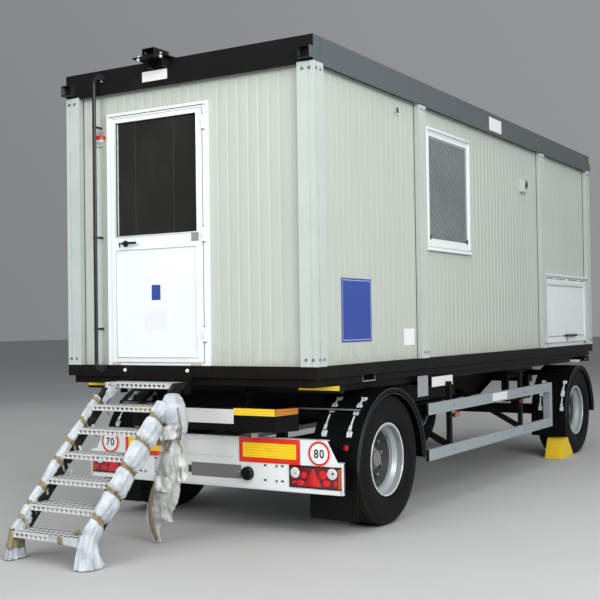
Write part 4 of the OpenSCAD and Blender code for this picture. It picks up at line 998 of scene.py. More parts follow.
def dressWindow(plan):
    (y0, z0), (y1, z1) = opening = plan["opening"]
    x, mesh, sash = plan["face"], plan["mesh"], plan["sash"]
    grow("window_sash_gasket", "seal", "rubber", "cabin", "mesh_grey", lines=[rectangle(0, 1.168, *opening, -0.003)],
         Width=0.007, Rise=0.007, Rounding=0.003)
    grow("window_sash_line", "seal", "seal", "cabin", "joinery_white",
         lines=[rectangle(0, x - 0.0075, *opening, sash)], Width=0.004, Rise=0.003, Rounding=0.002)
    grow("window_frame_bead", "seal", "joinery", "cabin", "joinery_white",
         lines=[rectangle(0, x - 0.001, *opening, sash + 0.020)], Width=0.012, Rise=0.008, Rounding=0.002)
    setBlocks("window_head_groove", "seal",            # dark groove under the frame's head
              [((x - 0.004, y0 - 0.055, z1 + 0.036), (x + 0.0012, y1 + 0.055, z1 + 0.043))], 0.0005)
    setBlocks("window_mesh_edge", "plateGrey",             # pale frame of the mesh
              [((mesh, y0 + 0.004, z1 - 0.030), (1.169, y1 - 0.004, z1 - 0.004)),
               ((mesh, y1 - 0.028, z0 + 0.004), (1.169, y1 - 0.004, z1 - 0.030))], 0.001)
    shape = bmesh.new()                 # sill nose, and the mesh frame's lower rail
    addBlock(shape, (x - 0.010, -1.535, 2.296), (x + 0.010, -0.455, 2.312), 0.003)
    addBlock(shape, (mesh, y0 + 0.004, z0 + 0.002), (1.171, y1 - 0.004, z0 + 0.016), 0.001)
    setPiece("window_sill_nose", shape, "joinery", "cabin", smooth=40)
    setBlocks("window_latches", "handle",
              [block for y in (y0 + 0.016, y1 - 0.016)
               for block in (((1.166, y - 0.012, z0 + 0.004), (1.180, y + 0.012, z0 + 0.034)),
                             ((1.178, y - 0.005, z0 + 0.020), (1.186, y + 0.005, z0 + 0.052)))], 0.002, smooth=40)


dressWindow(windowPlan)

hatchPlan = {"face": 1.195, "leaf": ((1.7825, 1.380), (3.380, 2.136)), "lock": (2.583, 1.408), "inset": 0.075}


def dressHatch(plan):
    (y0, z0), (y1, z1) = plan["leaf"]
    x, step = plan["face"], plan["inset"]
    setBlocks("hatch_swages", "stickerGrey",           # two long swages pressed in the leaf, drawn as grey strips: painted shade along them
              [((x - 0.001, y0 + 0.08, z - 0.004), (x + 0.0022, y1 - 0.08, z + 0.004))
               for z in (z1 - step, z0 + step)], 0.0012, "hatch")
    shape = bmesh.new()
    y, z = plan["lock"]
    addRound(shape, (x, y, z), (1, 0, 0), [(0.0, 0.0), (0.016, 0.0), (0.016, 0.005), (0.012, 0.008), (0.0, 0.008)], 24)
    addBlock(shape, (x + 0.007, y - 0.002, z - 0.009), (x + 0.0095, y + 0.002, z + 0.009))
    setPiece("hatch_lock", shape, "seal", "hatch", smooth=40)
    grow("hatch_gasket", "seal", "rubber", "cabin", "joinery_white",
         lines=[rectangle(0, 1.181, *plan["leaf"], 0.004)], Width=0.006, Rise=0.004, Rounding=0.002)
    setBlocks("hatch_stops", "rubber",                  # a rubber stop under each end of the leaf
              [((1.180, y, 1.350), (1.196, y + 0.040, 1.368)) for y in (1.795, 3.325)], 0.003, smooth=40)


dressHatch(hatchPlan)


# pipe, beacon, vents and roof bracket

pipePlan = {"x": -0.876, "y": -3.611, "r": 0.016, "clips": (1.62, 2.38, 3.30), "tall": 0.018}


def clipPipe(plan):
    shape = bmesh.new()                 # saddle clips round the pipe, with feet on the panel
    x, y, r, tall = (plan[k] for k in ("x", "y", "r", "tall"))
    inner, outer = r + 0.0004, r + 0.003
    for z in plan["clips"]:
        addRound(shape, (x, y, z), (0, 0, 1), [(inner, 0), (outer, 0), (outer, tall), (inner, tall), (inner, 0)], 24)
        addBlock(shape, (x - 0.008, y + r, z), (x + 0.008, panelRear, z + tall), 0.001)
    setPiece("conduit_clips", shape, "conduit", "cabin", smooth=40)
    grow("conduit_screws", "bolt", "zincBright", "cabin", "conduit_dark",
         [((-0.846, rearFace, 3.742), (0, -1, 0)), ((-0.822, rearFace, 3.690), (0, -1, 0))],
         Across=0.013, Height=0.008, Washer=0.010)


clipPipe(pipePlan)

beaconPlan = {"x": -0.890, "z": 3.215, "r": 0.055, "collar": 0.026, "dome": 0.043}


def addHalfRound(shape, centre, profile, sides=28):     # a turned form cut in half where it meets the rear wall
    x, y, z = centre
    rows = []
    for k in range(sides + 1):
        a = math.pi * k / sides
        rows.append([shape.verts.new((x + r * math.cos(a), y - r * math.sin(a) * 0.98 - 0.0005, z + up))
                     for r, up in profile])
    for one, two in zip(rows, rows[1:]):
        for i in range(len(profile) - 1):
            shape.faces.new((one[i], one[i + 1], two[i + 1], two[i]))
    shape.faces.new(rows[0])
    shape.faces.new(rows[-1][::-1])
    bmesh.ops.remove_doubles(shape, verts=shape.verts, dist=1e-6)
    bmesh.ops.recalc_face_normals(shape, faces=shape.faces)


def buildBeacon(plan):
    # wall beacon: grey back plate, flat red collar and a small clear dome under it, half round against the wall
    x, z, r, dome, deep = (plan[k] for k in ("x", "z", "r", "dome", "collar"))
    y = panelRear
    plate, foot, collar, glass = (bmesh.new() for _ in range(4))
    addBlock(plate, (x - 0.034, y - 0.012, z + 0.001), (x + 0.034, y, z + 0.066), 0.003)
    addBlock(foot, (x - 0.034, y - 0.010, z - 0.062), (x + 0.034, y, z + 0.001), 0.003)
    for dx in (-0.022, 0.022):
        addRound(foot, (x + dx, y - 0.010, z - 0.052), (0, -1, 0),
                 [(0.0, 0.0), (0.004, 0.0), (0.003, 0.002), (0.0, 0.0025)], 12)
    addHalfRound(collar, (x, y, z), [(0.0, 0.000), (r - 0.003, 0.0), (r, 0.003), (r, 0.020), (r - 0.004, deep),
                                     (0.0, deep)])
    addHalfRound(glass, (x, y, z), [(0.0, -0.034), (dome * 0.55, -0.033), (dome * 0.88, -0.027), (dome, -0.016),
                                    (dome, 0.0), (0.0, 0.0)])
    setPiece("beacon_plate", plate, "plateGrey", "cabin", smooth=40)
    setPiece("beacon_foot", foot, "panel", "cabin", smooth=40)
    collar = setPiece("beacon_collar", collar, "beaconRed", "cabin", smooth=40)
    setPiece("beacon_dome", glass, "lampClear", "cabin", smooth=50)
    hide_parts("beacon")


buildBeacon(beaconPlan)

ventPlan = {"y": -2.075, "z": 3.465, "bore": 0.030, "slats": 5}


def dressVents(plan):
    shape = bmesh.new()                 # louvres inside the round vent
    x, y, bore = panelSide, plan["y"], plan["bore"]
    for i in range(plan["slats"]):
        z = plan["z"] - bore + (i + 0.6) * 2 * bore / plan["slats"]
        half = math.sqrt(max(0.0, bore ** 2 - (z - plan["z"]) ** 2))
        addSlab(shape, [(x, y - half, z), (x + 0.009, y - half, z - 0.006), (x + 0.009, y + half, z - 0.006),
                        (x, y + half, z)], (0, 0, 1), 0.0012)
    setPiece("round_vent_louvres", shape, "seal", "cabin")
    # the box vent's hood lip, and its mouth as a dark disc: painted shade for the opening
    setBlocks("box_vent_lip", "vent", [((x + 0.044, 0.990, 3.212), (x + 0.060, 1.160, 3.226))], 0.002)
    setRounds("box_vent_mouth", "seal", [((x + 0.0602, 1.075, 3.148), (1, 0, 0), [
        (0.0, 0.0005), (0.034, 0.0005), (0.034, 0.002), (0.043, 0.002), (0.043, 0.0), (0.0, 0.0)], 36)])


dressVents(ventPlan)

mastBolts = {"Across": 0.020, "Height": 0.017, "Washer": 0.015}
grow("mast_bracket_bolts", "bolt", "zincBright", "cabin", "fascia_dark",    # down through the shelf's front corners
     [((x, -3.708, 3.780), (0, 0, -1)) for x in (-0.318, -0.090)], **mastBolts)
grow("mast_bracket_nuts", "bolt", "boltZinc", "cabin", "fascia_dark",
     [((x, -3.708, 3.788), (0, 0, 1)) for x in (-0.318, -0.090)], Across=0.019, Height=0.009, Washer=0.014)
shape = bmesh.new()                     # weld seams along the foot of the open tube
for x in (-0.267, -0.143):
    addRod(shape, [(x, -3.723, 3.7885), (x, -3.537, 3.7885)], 0.0035, 8)
setPiece("mast_bracket_welds", shape, "fascia", "cabin", smooth=60)

packers = ((-0.760, -0.665), (0.045, 0.150))    # pale packers left under the door frame's foot
setBlocks("door_packers", "packer",
          [((x0, -3.5475, 1.3302), (x1, -3.5452, 1.3440)) for x0, x1 in packers], 0.0008)
grow("hanger_bolts", "bolt", "zincBright", "cabin", "base_dark",
     [((x, -3.5872, 1.292), (0, -1, 0)) for x in (-0.589, 0.044)], Across=0.019, Height=0.012, Washer=0.015)

baseBolts = {"pitch": 0.55, "end": 3.30, "z": 1.285, "Radius": 0.006, "Dome": 0.5}


def boltBase(plan):
    points = []
    for side in (-1, 1):
        y = -plan["end"]
        while y <= plan["end"]:
            points.append(((side * sideFace, y, plan["z"]), (side, 0, 0)))
            y += plan["pitch"]
    grow("base_rivets", "screw", "chassis", "cabin", "base_dark", points, Radius=plan["Radius"], Dome=plan["Dome"])


boltBase(baseBolts)
print("cabin details done")


# rear bar: boards, discs and lamps

boardPlan = {"y": boardFace, "z": (0.5600, 0.7550), "x": (0.305, 0.870), "inset": (0.034, 0.040), "lift": 0.0016}


def fillBoards(plan):
    shape, fine = bmesh.new(), bmesh.new()
    (x0, x1), (z0, z1), (ix, iz) = plan["x"], plan["z"], plan["inset"]
    for side in (-1, 1):
        addMirrored(shape, side, (x0 + ix, plan["y"] - plan["lift"], z0 + iz), (x1 - ix, plan["y"], z1 - iz), 0.0004)
        middle = side * (x0 + x1) / 2
        for z in (0.667, 0.650):        # two short blank marks in the field
            addBlock(fine, (middle - 0.030, plan["y"] - plan["lift"] - 0.0003, z),
                     (middle + 0.030, plan["y"] - plan["lift"] + 0.0002, z + 0.004))
    setPiece("board_fields", shape, "boardYellow", "cabin")
    setPiece("board_marks", fine, "tapeOrange", "cabin")
    grow("board_rivets", "screw", "boltZinc", "cabin", "board_yellow",
         [((side * x, plan["y"], z), (0, -1, 0)) for side in (-1, 1) for x in (x0 + 0.014, x1 - 0.014)
          for z in (z0 + 0.014, z1 - 0.014)], Radius=0.0045, Dome=0.5)


fillBoards(boardPlan)

discPlan = {"y": boardFace, "x": 1.040, "z": 0.656, "r": 0.099, "ring": 0.017, "figures": {-1: "70", 1: "80"},
            "tall": 0.068, "wide": 0.088}


def fillDiscs(plan):
    faces, rings = bmesh.new(), bmesh.new()
    for side in (-1, 1):
        centre = (side * plan["x"], plan["y"], plan["z"])
        r = plan["r"]
        inner, outer = r - plan["ring"] - 0.005, r - 0.004
        addRound(faces, centre, (0, -1, 0), [(0.0, 0.0012), (inner, 0.0012), (inner, 0.0), (0, 0)], 64)
        addRound(faces, centre, (0, -1, 0), [(outer, 0.0), (outer, 0.0010), (r, 0.0010), (r, 0.0), (outer, 0.0)], 64)
        addRound(rings, centre, (0, -1, 0), [(inner, 0.0), (inner, 0.0014), (outer, 0.0014), (outer, 0.0),
                                             (inner, 0.0)], 64)
        words = bpy.data.curves.new("figures", "FONT")
        words.body, words.size, words.align_x, words.align_y = plan["figures"][side], 0.132, "CENTER", "CENTER"
        words.extrude, words.offset, words.space_character = 0.0007, 0.0022, 1.20
        text = bpy.data.objects.new("figures", words)
        bpy.context.scene.collection.objects.link(text)
        mesh = bpy.data.meshes.new_from_object(text.evaluated_get(bpy.context.evaluated_depsgraph_get()))
        bpy.data.objects.remove(text)
        points = [v.co.copy() for v in mesh.vertices]
        (left, right), (foot, head) = ((min(p[i] for p in points), max(p[i] for p in points)) for i in (0, 1))
        for v, p in zip(mesh.vertices, points):     # stretched to the height and width of the real figures
            v.co = ((p.x - (right + left) / 2) * plan["wide"] / (right - left) + centre[0],
                    centre[1] - 0.0012 - p.z - 0.0007,
                    (p.y - (head + foot) / 2) * plan["tall"] / (head - foot) + centre[2])
        shape = bmesh.new()
        shape.from_mesh(mesh)
        setPiece("disc_figures_" + ("left" if side < 0 else "right"), shape, "ink", "cabin")
    setPiece("disc_faces", faces, "plateWhite", "cabin")
    setPiece("disc_rings", rings, "inkRed", "cabin")


fillDiscs(discPlan)

lampPlan = {    # glasses on the dark red body: middle (x, z), half width, half height, lift
    "y": -3.270, "x": (0.780, 1.234), "z": (0.394, 0.554),
    "clear": ((0.828, 0.503, 0.035, 0.037, 0.008), (1.156, 0.509, 0.037, 0.038, 0.009)),
    "spot": ((0.906, 0.487, 0.026, 0.026, 0.006), (1.074, 0.497, 0.034, 0.034, 0.006),
             (0.876, 0.428, 0.038, 0.022, 0.006), (1.104, 0.436, 0.034, 0.027, 0.006),
             (1.184, 0.437, 0.017, 0.024, 0.004), (0.818, 0.430, 0.014, 0.012, 0.004)),
    "wedge": (0.988, 0.077, 0.984, 0.404, 0.540), "amber": 1.206,     # foot, its half width, top, low, high
    "studs": ((1.166, 0.0085, 0.513, 0.010, 0.003), (0.834, 0.0075, 0.500, 0.005, 0.003))}


def fitLamps(plan):
    y = plan["y"]
    (x0, x1), (z0, z1) = plan["x"], plan["z"]
    parts = {k: bmesh.new() for k in ("clear", "cup", "spot", "wedge", "shade", "amber", "case")}
    for side in (-1, 1):
        for kind in ("clear", "spot"):
            for x, z, wide, tall, lift in plan[kind]:
                start = len(parts[kind].verts)
                addRound(parts[kind], (0, 0, 0), (0, -1, 0), [(1.0, 0.0), (0.93, lift * 0.5), (0.6, lift * 0.86),
                                                              (0.3, lift * 0.97), (0.0, lift)], 36)
                parts[kind].verts.ensure_lookup_table()
                for v in parts[kind].verts[start:]:
                    v.co = Vector((side * x + v.co.x * wide, y + v.co.y, z + v.co.z * tall))
                if kind == "clear":     # bright cup round the glass
                    addRound(parts["cup"], (side * x, y, z), (0, -1, 0),
                             [(wide + 0.005, 0.0), (wide + 0.005, 0.0020), (wide - 0.001, 0.0026), (wide - 0.001, 0.0),
                              (wide + 0.005, 0.0)], 36)
        footX, footHalf, topX, low, high = plan["wedge"]
        right = [(topX - 0.003, high), (footX - 0.024, low), (footX + footHalf, low), (topX + 0.011, high)]
        left = [(topX - 0.004, high), (footX - footHalf, low), (footX - 0.026, low), (topX - 0.0035, high)]
        # the wedge's right half is bright red and its left half darker red: painted light and shade across one triangle
        for kind, outline, depth in (("wedge", right, 0.005), ("shade", left, 0.003)):
            addSlab(parts[kind], [(side * x, y, z) for x, z in outline][::side], (0, -1, 0), depth)
        addMirrored(parts["amber"], side, (plan["amber"], y - 0.0018, z0 + 0.004),
                    (x1 + 0.0005, y + 0.020, z1 - 0.004), 0.003)
        # dark strips along the top, left side and foot of the lamp; the top one also stands for the shadow line under
        # the bar: a painted shadow
        for xa, za, xb, zb in ((x0 - 0.004, z1 - 0.004, x1 + 0.003, z1 + 0.006),
                               (x0 - 0.006, z0 - 0.004, x0 + 0.004, z1 + 0.006),
                               (x0 - 0.004, z0 - 0.004, x1 + 0.003, z0 + 0.003)):
            addMirrored(parts["case"], side, (xa, y - 0.0010, za), (xb, y + 0.0105, zb), 0.001)
        for x, proud, z, r, tip in plan["studs"]:
            addRound(parts["case"], (side * x, y - proud, z), (0, -1, 0),
                     [(0.0, 0.0), (r, 0.0), (0.8 * r, 0.002), (0.0, tip)], 16)
    for name, finish in (("clear", "lampClear"), ("cup", "zincBright"), ("spot", "lampBright"), ("wedge", "lampBright"),
                         ("shade", "lampShade"), ("amber", "lampAmber"), ("case", "rubber")):
        setPiece("tail_lamp_" + name, parts[name], finish, "cabin", smooth=40)


fitLamps(lampPlan)

barPlan = {"end": 1.250, "y": (-3.274, -3.252), "z": (0.350, 0.590), "wall": 0.010, "lip": 0.030, "lipHalf": 1.225,
           "flangeEnd": 1.222, "topEnd": 1.095, "flangeBack": -3.2535, "middle": 0.70}


def buildBar(plan):
    # the bar's plate with its flanges cut short of the ends, thin end cheeks round the lamps, and its folded lower lip
    bar = bmesh.new()
    bar.from_mesh(cad["rear_bar"].data)
    for v in bar.verts:
        end = plan["flangeEnd"] if v.co.z < plan["middle"] else plan["topEnd"]
        if v.co.y > plan["flangeBack"] and abs(v.co.x) > end:
            v.co.x = math.copysign(end, v.co.x)
    bar = setPiece("rear_bar_plate_cut", bar, "barWhite", "cabin")
    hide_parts("rear_bar")
    shape = bmesh.new()
    (y0, y1), (z0, z1), w, lip = plan["y"], plan["z"], plan["wall"], plan["lip"]
    for side in (-1, 1):
        x = min(side * plan["end"], side * (plan["end"] - w))
        addSlab(shape, [(x, y, z) for y, z in ((y1, z0 + 0.010), (y0 + 0.004, z0 + 0.012), (y0, z0 + 0.022),
                                               (y0, z1 - 0.012), (y0 + 0.004, z1), (y1, z1))], (1, 0, 0), w)
    half = plan["lipHalf"]
    addSlab(shape, [(-half, y, z) for y, z in ((-3.259, z0), (y0 + 0.003, z0), (y0, z0 + 0.005), (y0, z0 + lip),
                                               (y0 + 0.003, z0 + lip), (y0 + 0.0045, z0 + 0.008),
                                               (-3.259, z0 + 0.006))], (1, 0, 0), 2 * half)
    setPiece("rear_bar_cheeks", shape, "barWhite", "cabin", smooth=35)


buildBar(barPlan)

slotPlan = {"slots": ((0.547, 0.542), (0.706, 0.543), (0.547, 0.426), (0.706, 0.425)),
            "studs": ((0.655, 0.541), (0.655, 0.425)), "size": (0.013, 0.007), "buffer": (0.386, 0.470, 0.050, -3.290)}


def punchSlots(plan):
    # dark oval slots and studs in the bar's face, both halves
    w, h = plan["size"]
    setBlocks("bar_slots", "ink",
              [((side * x - w, -3.2612, z - h), (side * x + w, -3.2595, z + h))
               for side in (-1, 1) for x, z in plan["slots"]], 0.0008)
    grow("bar_studs", "bolt", "boltZinc", "cabin", "bar_white",
         [((side * x, barFace, z), (0, -1, 0)) for side in (-1, 1) for x, z in plan["studs"]],
         Across=0.015, Height=0.007, Washer=0.011)
    x, z, r, y = plan["buffer"]
    shape = bmesh.new()                 # rubber sleeves and faces on the two round buffers
    for side in (-1, 1):
        addRound(shape, (side * x, y, z), (0, -1, 0),
                 [(0.0, 0.0002), (r, 0.0002), (r, 0.004), (r - 0.006, 0.009), (r - 0.020, 0.0085), (r - 0.024, 0.005),
                  (0.0, 0.005)], 40)
        addRound(shape, (side * x, barFace, z), (0, -1, 0),
                 [(r + 0.0004, 0.0), (r + 0.0004, 0.029), (r + 0.0015, 0.030), (r + 0.0035, 0.026), (r + 0.0045, 0.0),
                  (r + 0.0004, 0.0)], 40)
    setPiece("bar_buffers", shape, "rubber", "cabin", smooth=40)
    setBlocks("number_holder", "seal",                     # dark holder left of the number field
              [((-0.198, -3.2700, 0.448), (-0.172, -3.2600, 0.506))], 0.002, smooth=40)
    # a bright screw head at the number field's right end, its brightness partly a painted highlight
    setRounds("number_screw", "zincBright", [
        ((0.303, -3.2625, 0.477), (0, -1, 0), [(0.0, 0.0), (0.006, 0.0), (0.005, 0.003), (0.0, 0.004)], 16)])


punchSlots(slotPlan)


# reflective tapes

def addTape(name, outline, normal, finish, depth=0.0014):
    shape = bmesh.new()
    addSlab(shape, outline, normal, depth)
    return setPiece(name, shape, finish, "cabin")


def tapeBox(x0, x1, y, z0, z1):
    return [(x0, y, z0), (x1, y, z0), (x1, y, z1), (x0, y, z1)]


for side, label in ((1, "right"), (-1, "left")):
    x0, x1 = sorted((side * 0.322, side * 0.707))
    addTape("crossmember_tape_" + label, tapeBox(x0, x1, -3.360, 0.936, 0.991), (0, -1, 0), "tapeYellow")
    ahead = Vector((side * 0.091, 0.200, 0)).normalized()   # along the swept end of the crossmember
    start = Vector((side * 0.7094, -3.3598, 0))
    out = Vector((side * ahead.y, -abs(ahead.x), 0)).normalized()
    corners = [start + ahead * a + Vector((0, 0, z))
               for a, z in ((0.003, 0.936), (0.215, 0.944), (0.215, 0.991), (0.003, 0.991))]
    addTape("crossmember_tape_swept_" + label, corners if side > 0 else corners[::-1], out, "tapeOrange")
    outline = [(side * x, -3.300, z)
               for x, z in ((0.888, 1.141), (1.247, 1.141), (1.247, 1.179), (1.010, 1.156), (0.888, 1.156))]
    addTape("frame_tape_" + label, outline[::side], (0, -1, 0), "tapeYellow")
print("rear bar, boards, lamps and tapes done")


# mudguards: latches, stays, reflectors

guardCentre = {"rear": (-2.450, 0.480, 0.635), "front": (2.800, 0.480, 0.605)}
latchPlan = {   # half width, and for each guard the x of a strap with the angles of its foot and head
    "width": 0.022,
    "rear": ((0.945, 151.5, 131.5), (1.168, 151.5, 133.5), (1.168, 127.5, 118.5), (0.945, 127.5, 118.5)),
    "front": ((1.222, 151.0, 137.0), (1.222, 170.0, 153.5), (0.960, 151.0, 137.0), (0.960, 170.0, 153.5))}


def addLatch(shape, x, centre, radius, start, end, plan):
    # a strap latch laid on the curve: a long bright strap, a bail, a keeper plate with two rivets at each end
    y0, z0 = centre

    def on(angle, lift):
        a = math.radians(angle)
        return Vector((x, y0 + (radius + lift) * math.cos(a), z0 + (radius + lift) * math.sin(a)))

    w = plan["width"]
    steps = 10
    for j in range(steps):              # strap in short flats
        a0, a1 = (start + (end - start) * (0.16 + 0.62 * k / steps) for k in (j, j + 1))
        p, q = on(a0, 0.010), on(a1, 0.010)
        addSlab(shape, [p + Vector((-w * 0.32, 0, 0)), q + Vector((-w * 0.32, 0, 0)), q + Vector((w * 0.32, 0, 0)),
                        p + Vector((w * 0.32, 0, 0))], (on(a0, 1) - on(a0, 0)), 0.003)
    for angle in (start, end):          # keeper plates
        p = [on(angle + d, 0.0005) for d in (-2.2, 2.2)]
        out = on(angle, 1) - on(angle, 0)
        addSlab(shape, [p[0] - Vector((w, 0, 0)), p[1] - Vector((w, 0, 0)), p[1] + Vector((w, 0, 0)),
                        p[0] + Vector((w, 0, 0))], out, 0.003)
        for dx in (-w * 0.75, w * 0.75):
            addRod(shape, [on(angle - 1.2, 0.003) + Vector((dx, 0, 0)), on(angle - 1.2, 0.014) + Vector((dx, 0, 0)),
                           on(angle + 1.2, 0.014) + Vector((dx, 0, 0)), on(angle + 1.2, 0.003) + Vector((dx, 0, 0))],
                   0.0028, 8)
    a = start + (end - start) * 0.16
    for dx in (-w * 0.5, w * 0.5):      # bail wires
        addRod(shape, [on(start, 0.012) + Vector((dx, 0, 0)), on(a, 0.015) + Vector((dx, 0, 0)),
                       on(start + (end - start) * 0.34, 0.013) + Vector((dx, 0, 0))], 0.0026, 8)
    p = on(end - (end - start) * 0.12, 0.012)
    addRod(shape, [p - Vector((w * 0.8, 0, 0)), p + Vector((w * 0.8, 0, 0))], 0.0045, 10)


for end, body in (("rear", "cabin"), ("front", "dolly")):
    y, z, r = guardCentre[end]
    shape = bmesh.new()
    for side in (-1, 1):
        for x, foot, head in latchPlan[end]:
            addLatch(shape, side * x, (y, z), r, foot, head, latchPlan)
    setPiece(end + "_mudguard_latches", shape, "zincBright", body, smooth=35)
    shape = bmesh.new()                 # second rolled lip inside each outer edge, lighter grey than the mudguard as a painted highlight
    for side in (-1, 1):
        for x, rr in ((1.270, r - 0.004), (1.262, r - 0.046)):
            addRod(shape, arc((y, z), rr, 2, 178, 60, side * x), 0.0055, 8)
    setPiece(end + "_mudguard_lips", shape, "guardLip", body, smooth=60)

stayPlan = {"y": -2.4500, "out": 0.4465, "z": 0.965, "x": (0.560, 1.205), "r": 0.0065}
shape = bmesh.new()                     # thin bright rods along the black stays of the rear mudguards, with clips
for side in (-1, 1):
    for way in (-1, 1):
        x0, x1 = (side * x for x in stayPlan["x"])
        y = stayPlan["y"] + way * (stayPlan["out"] + 0.001)
        addRod(shape, [(x0, y, stayPlan["z"]), (x1, y, stayPlan["z"])], stayPlan["r"], 14)
        for x in (x0, side * 0.945, side * 1.168):
            addRod(shape, [(x - 0.006, y, stayPlan["z"]), (x + 0.006, y, stayPlan["z"])], stayPlan["r"] + 0.003, 14)
setPiece("mudguard_stays", shape, "stayTube", "cabin", smooth=40)

reflectorPlan = {"x": 1.180, "rear": (-3.085, 0.688)}
shape, rim = bmesh.new(), bmesh.new()
for side in (-1, 1):
    place = (side * reflectorPlan["x"],) + reflectorPlan["rear"]
    addRound(shape, place, (0, -1, 0), [(0.0, 0.0), (0.024, 0.0), (0.024, 0.008), (0.020, 0.011), (0.0, 0.012)], 32)
    addRound(rim, place, (0, -1, 0), [(0.024, 0.0), (0.024, 0.009), (0.028, 0.008), (0.029, 0.0), (0.024, 0.0)], 32)
setPiece("rear_reflectors", shape, "lampShade", "cabin", smooth=40)
setPiece("rear_reflector_rims", rim, "rubber", "cabin", smooth=40)

sideLampPlan = {"x": 1.212, "z": (0.757, 0.799), "along": ((-1.032, -0.913), (0.763, 0.877)), "post": -1.120}

shape, base = bmesh.new(), bmesh.new()  # amber lamps beside the guard posts, the rear one on a short arm
for side in (-1, 1):
    (z0, z1), x = sideLampPlan["z"], sideLampPlan["x"]
    for y0, y1 in sideLampPlan["along"]:
        addMirrored(base, side, (x - 0.009, y0 - 0.003, z0 - 0.003), (x, y1 + 0.003, z1 + 0.003), 0.003)
        addMirrored(shape, side, (x - 0.0005, y0, z0), (x + 0.011, y1, z1), 0.005)
        if y0 < 0:
            addMirrored(base, side, (x - 0.012, sideLampPlan["post"], z0 + 0.006),
                        (x - 0.008, y1 - 0.010, z1 - 0.006), 0.0008)
        else:
            addMirrored(base, side, (x - 0.012, y0 + 0.020, z1 + 0.003), (x + 0.0135, y1 - 0.050, z1 + 0.008), 0.0008)
setPiece("side_lamps", shape, "lampAmber", "cabin", smooth=40)
setPiece("side_lamp_bases", base, "rubber", "cabin", smooth=40)

guardCaps = {"x": (1.2245, 1.2502), "y": (-1.708, -1.6995), "rails": ((0.425, 0.525), (0.828, 0.928))}
shape = bmesh.new()                     # black end caps of the guard rails
for side in (-1, 1):
    for z0, z1 in guardCaps["rails"]:
        (x0, x1), (y0, y1) = guardCaps["x"], guardCaps["y"]
        addMirrored(shape, side, (x0, y0, z0 - 0.0005), (x1, y1, z1 + 0.0005), 0.002)
setPiece("guard_end_caps", shape, "rubber", "cabin", smooth=40)
grow("guard_bolts", "bolt", "boltZinc", "cabin", "guard_aluminium",
     [((side * guardFace, y, z), (side, 0, 0)) for side in (-1, 1) for y in (-1.140, 0.792)
      for z in (0.475, 0.878)], Across=0.015, Height=0.006, Washer=0.011)

frameEnds = {"pocket": ((-2.797, -2.595), (1.190, 1.248)), "beamX": 1.180, "lamp": (1.233, 3.230, 1.146),
             "arm": (0.985, 1.2505, 2.886, 1.1205, 1.1495)}


def dressFrame(plan):
    # pocket for a lifting fork in the cabin's sub-beam, as a near-black block of painted shade with a grey edge, white
    # front arm, and the front marker lamp in its dark box
    (y0, y1), (z0, z1) = plan["pocket"]
    void, edge, box, lens, white = (bmesh.new() for _ in range(5))
    for side in (-1, 1):
        x = plan["beamX"]
        addMirrored(void, side, (x - 0.0008, y0, z0), (x + 0.0012, y1, z1))
        addMirrored(edge, side, (x, y0 - 0.004, z0 - 0.008), (x + 0.010, y1 + 0.006, z0), 0.0015)
        for y in (y0 - 0.005, y1):
            addMirrored(edge, side, (x, y, z0), (x + 0.004, y + 0.005, z1 + 0.002), 0.001)
        x, y, z = plan["lamp"]
        addMirrored(box, side, (x - 0.017, y - 0.040, z - 0.021), (x + 0.017, y + 0.001, z + 0.021), 0.003)
        addMirrored(lens, side, (x - 0.010 + 0.003, y - 0.0440, z - 0.013),
                    (x + 0.010 + 0.003, y - 0.0395, z + 0.013), 0.002)
        a0, a1, y, z2, z3 = plan["arm"]
        addMirrored(white, side, (a0, y - 0.0016, z2), (a1, y + 0.0005, z3), 0.0005)
    setPiece("fork_pocket_shade", void, "holeShadeBlack", "cabin")
    setPiece("fork_pocket_edge", edge, "plateGrey", "cabin", smooth=40)
    setPiece("front_marker_box", box, "rubber", "cabin", smooth=40)
    setPiece("front_marker_lens", lens, "lampAmber", "cabin", smooth=40)
    setPiece("front_arm_white", white, "barWhite", "cabin")


dressFrame(frameEnds)
print("mudguards, lamps and guards done")


# wheels: nuts, hub caps, valves, shoulder lugs

wheelPlan = {"nuts": 10, "nutRing": 0.1675, "Across": 0.034, "Height": 0.030, "Washer": 0.024, "face": -0.008,
             "capFace": 0.044, "bead": 0.1510, "rimLip": 0.157, "valve": 38,
             "lugs": 64, "lugRadius": 0.5005, "lugOut": 0.118, "Size": (0.020, 0.028, 0.006)}


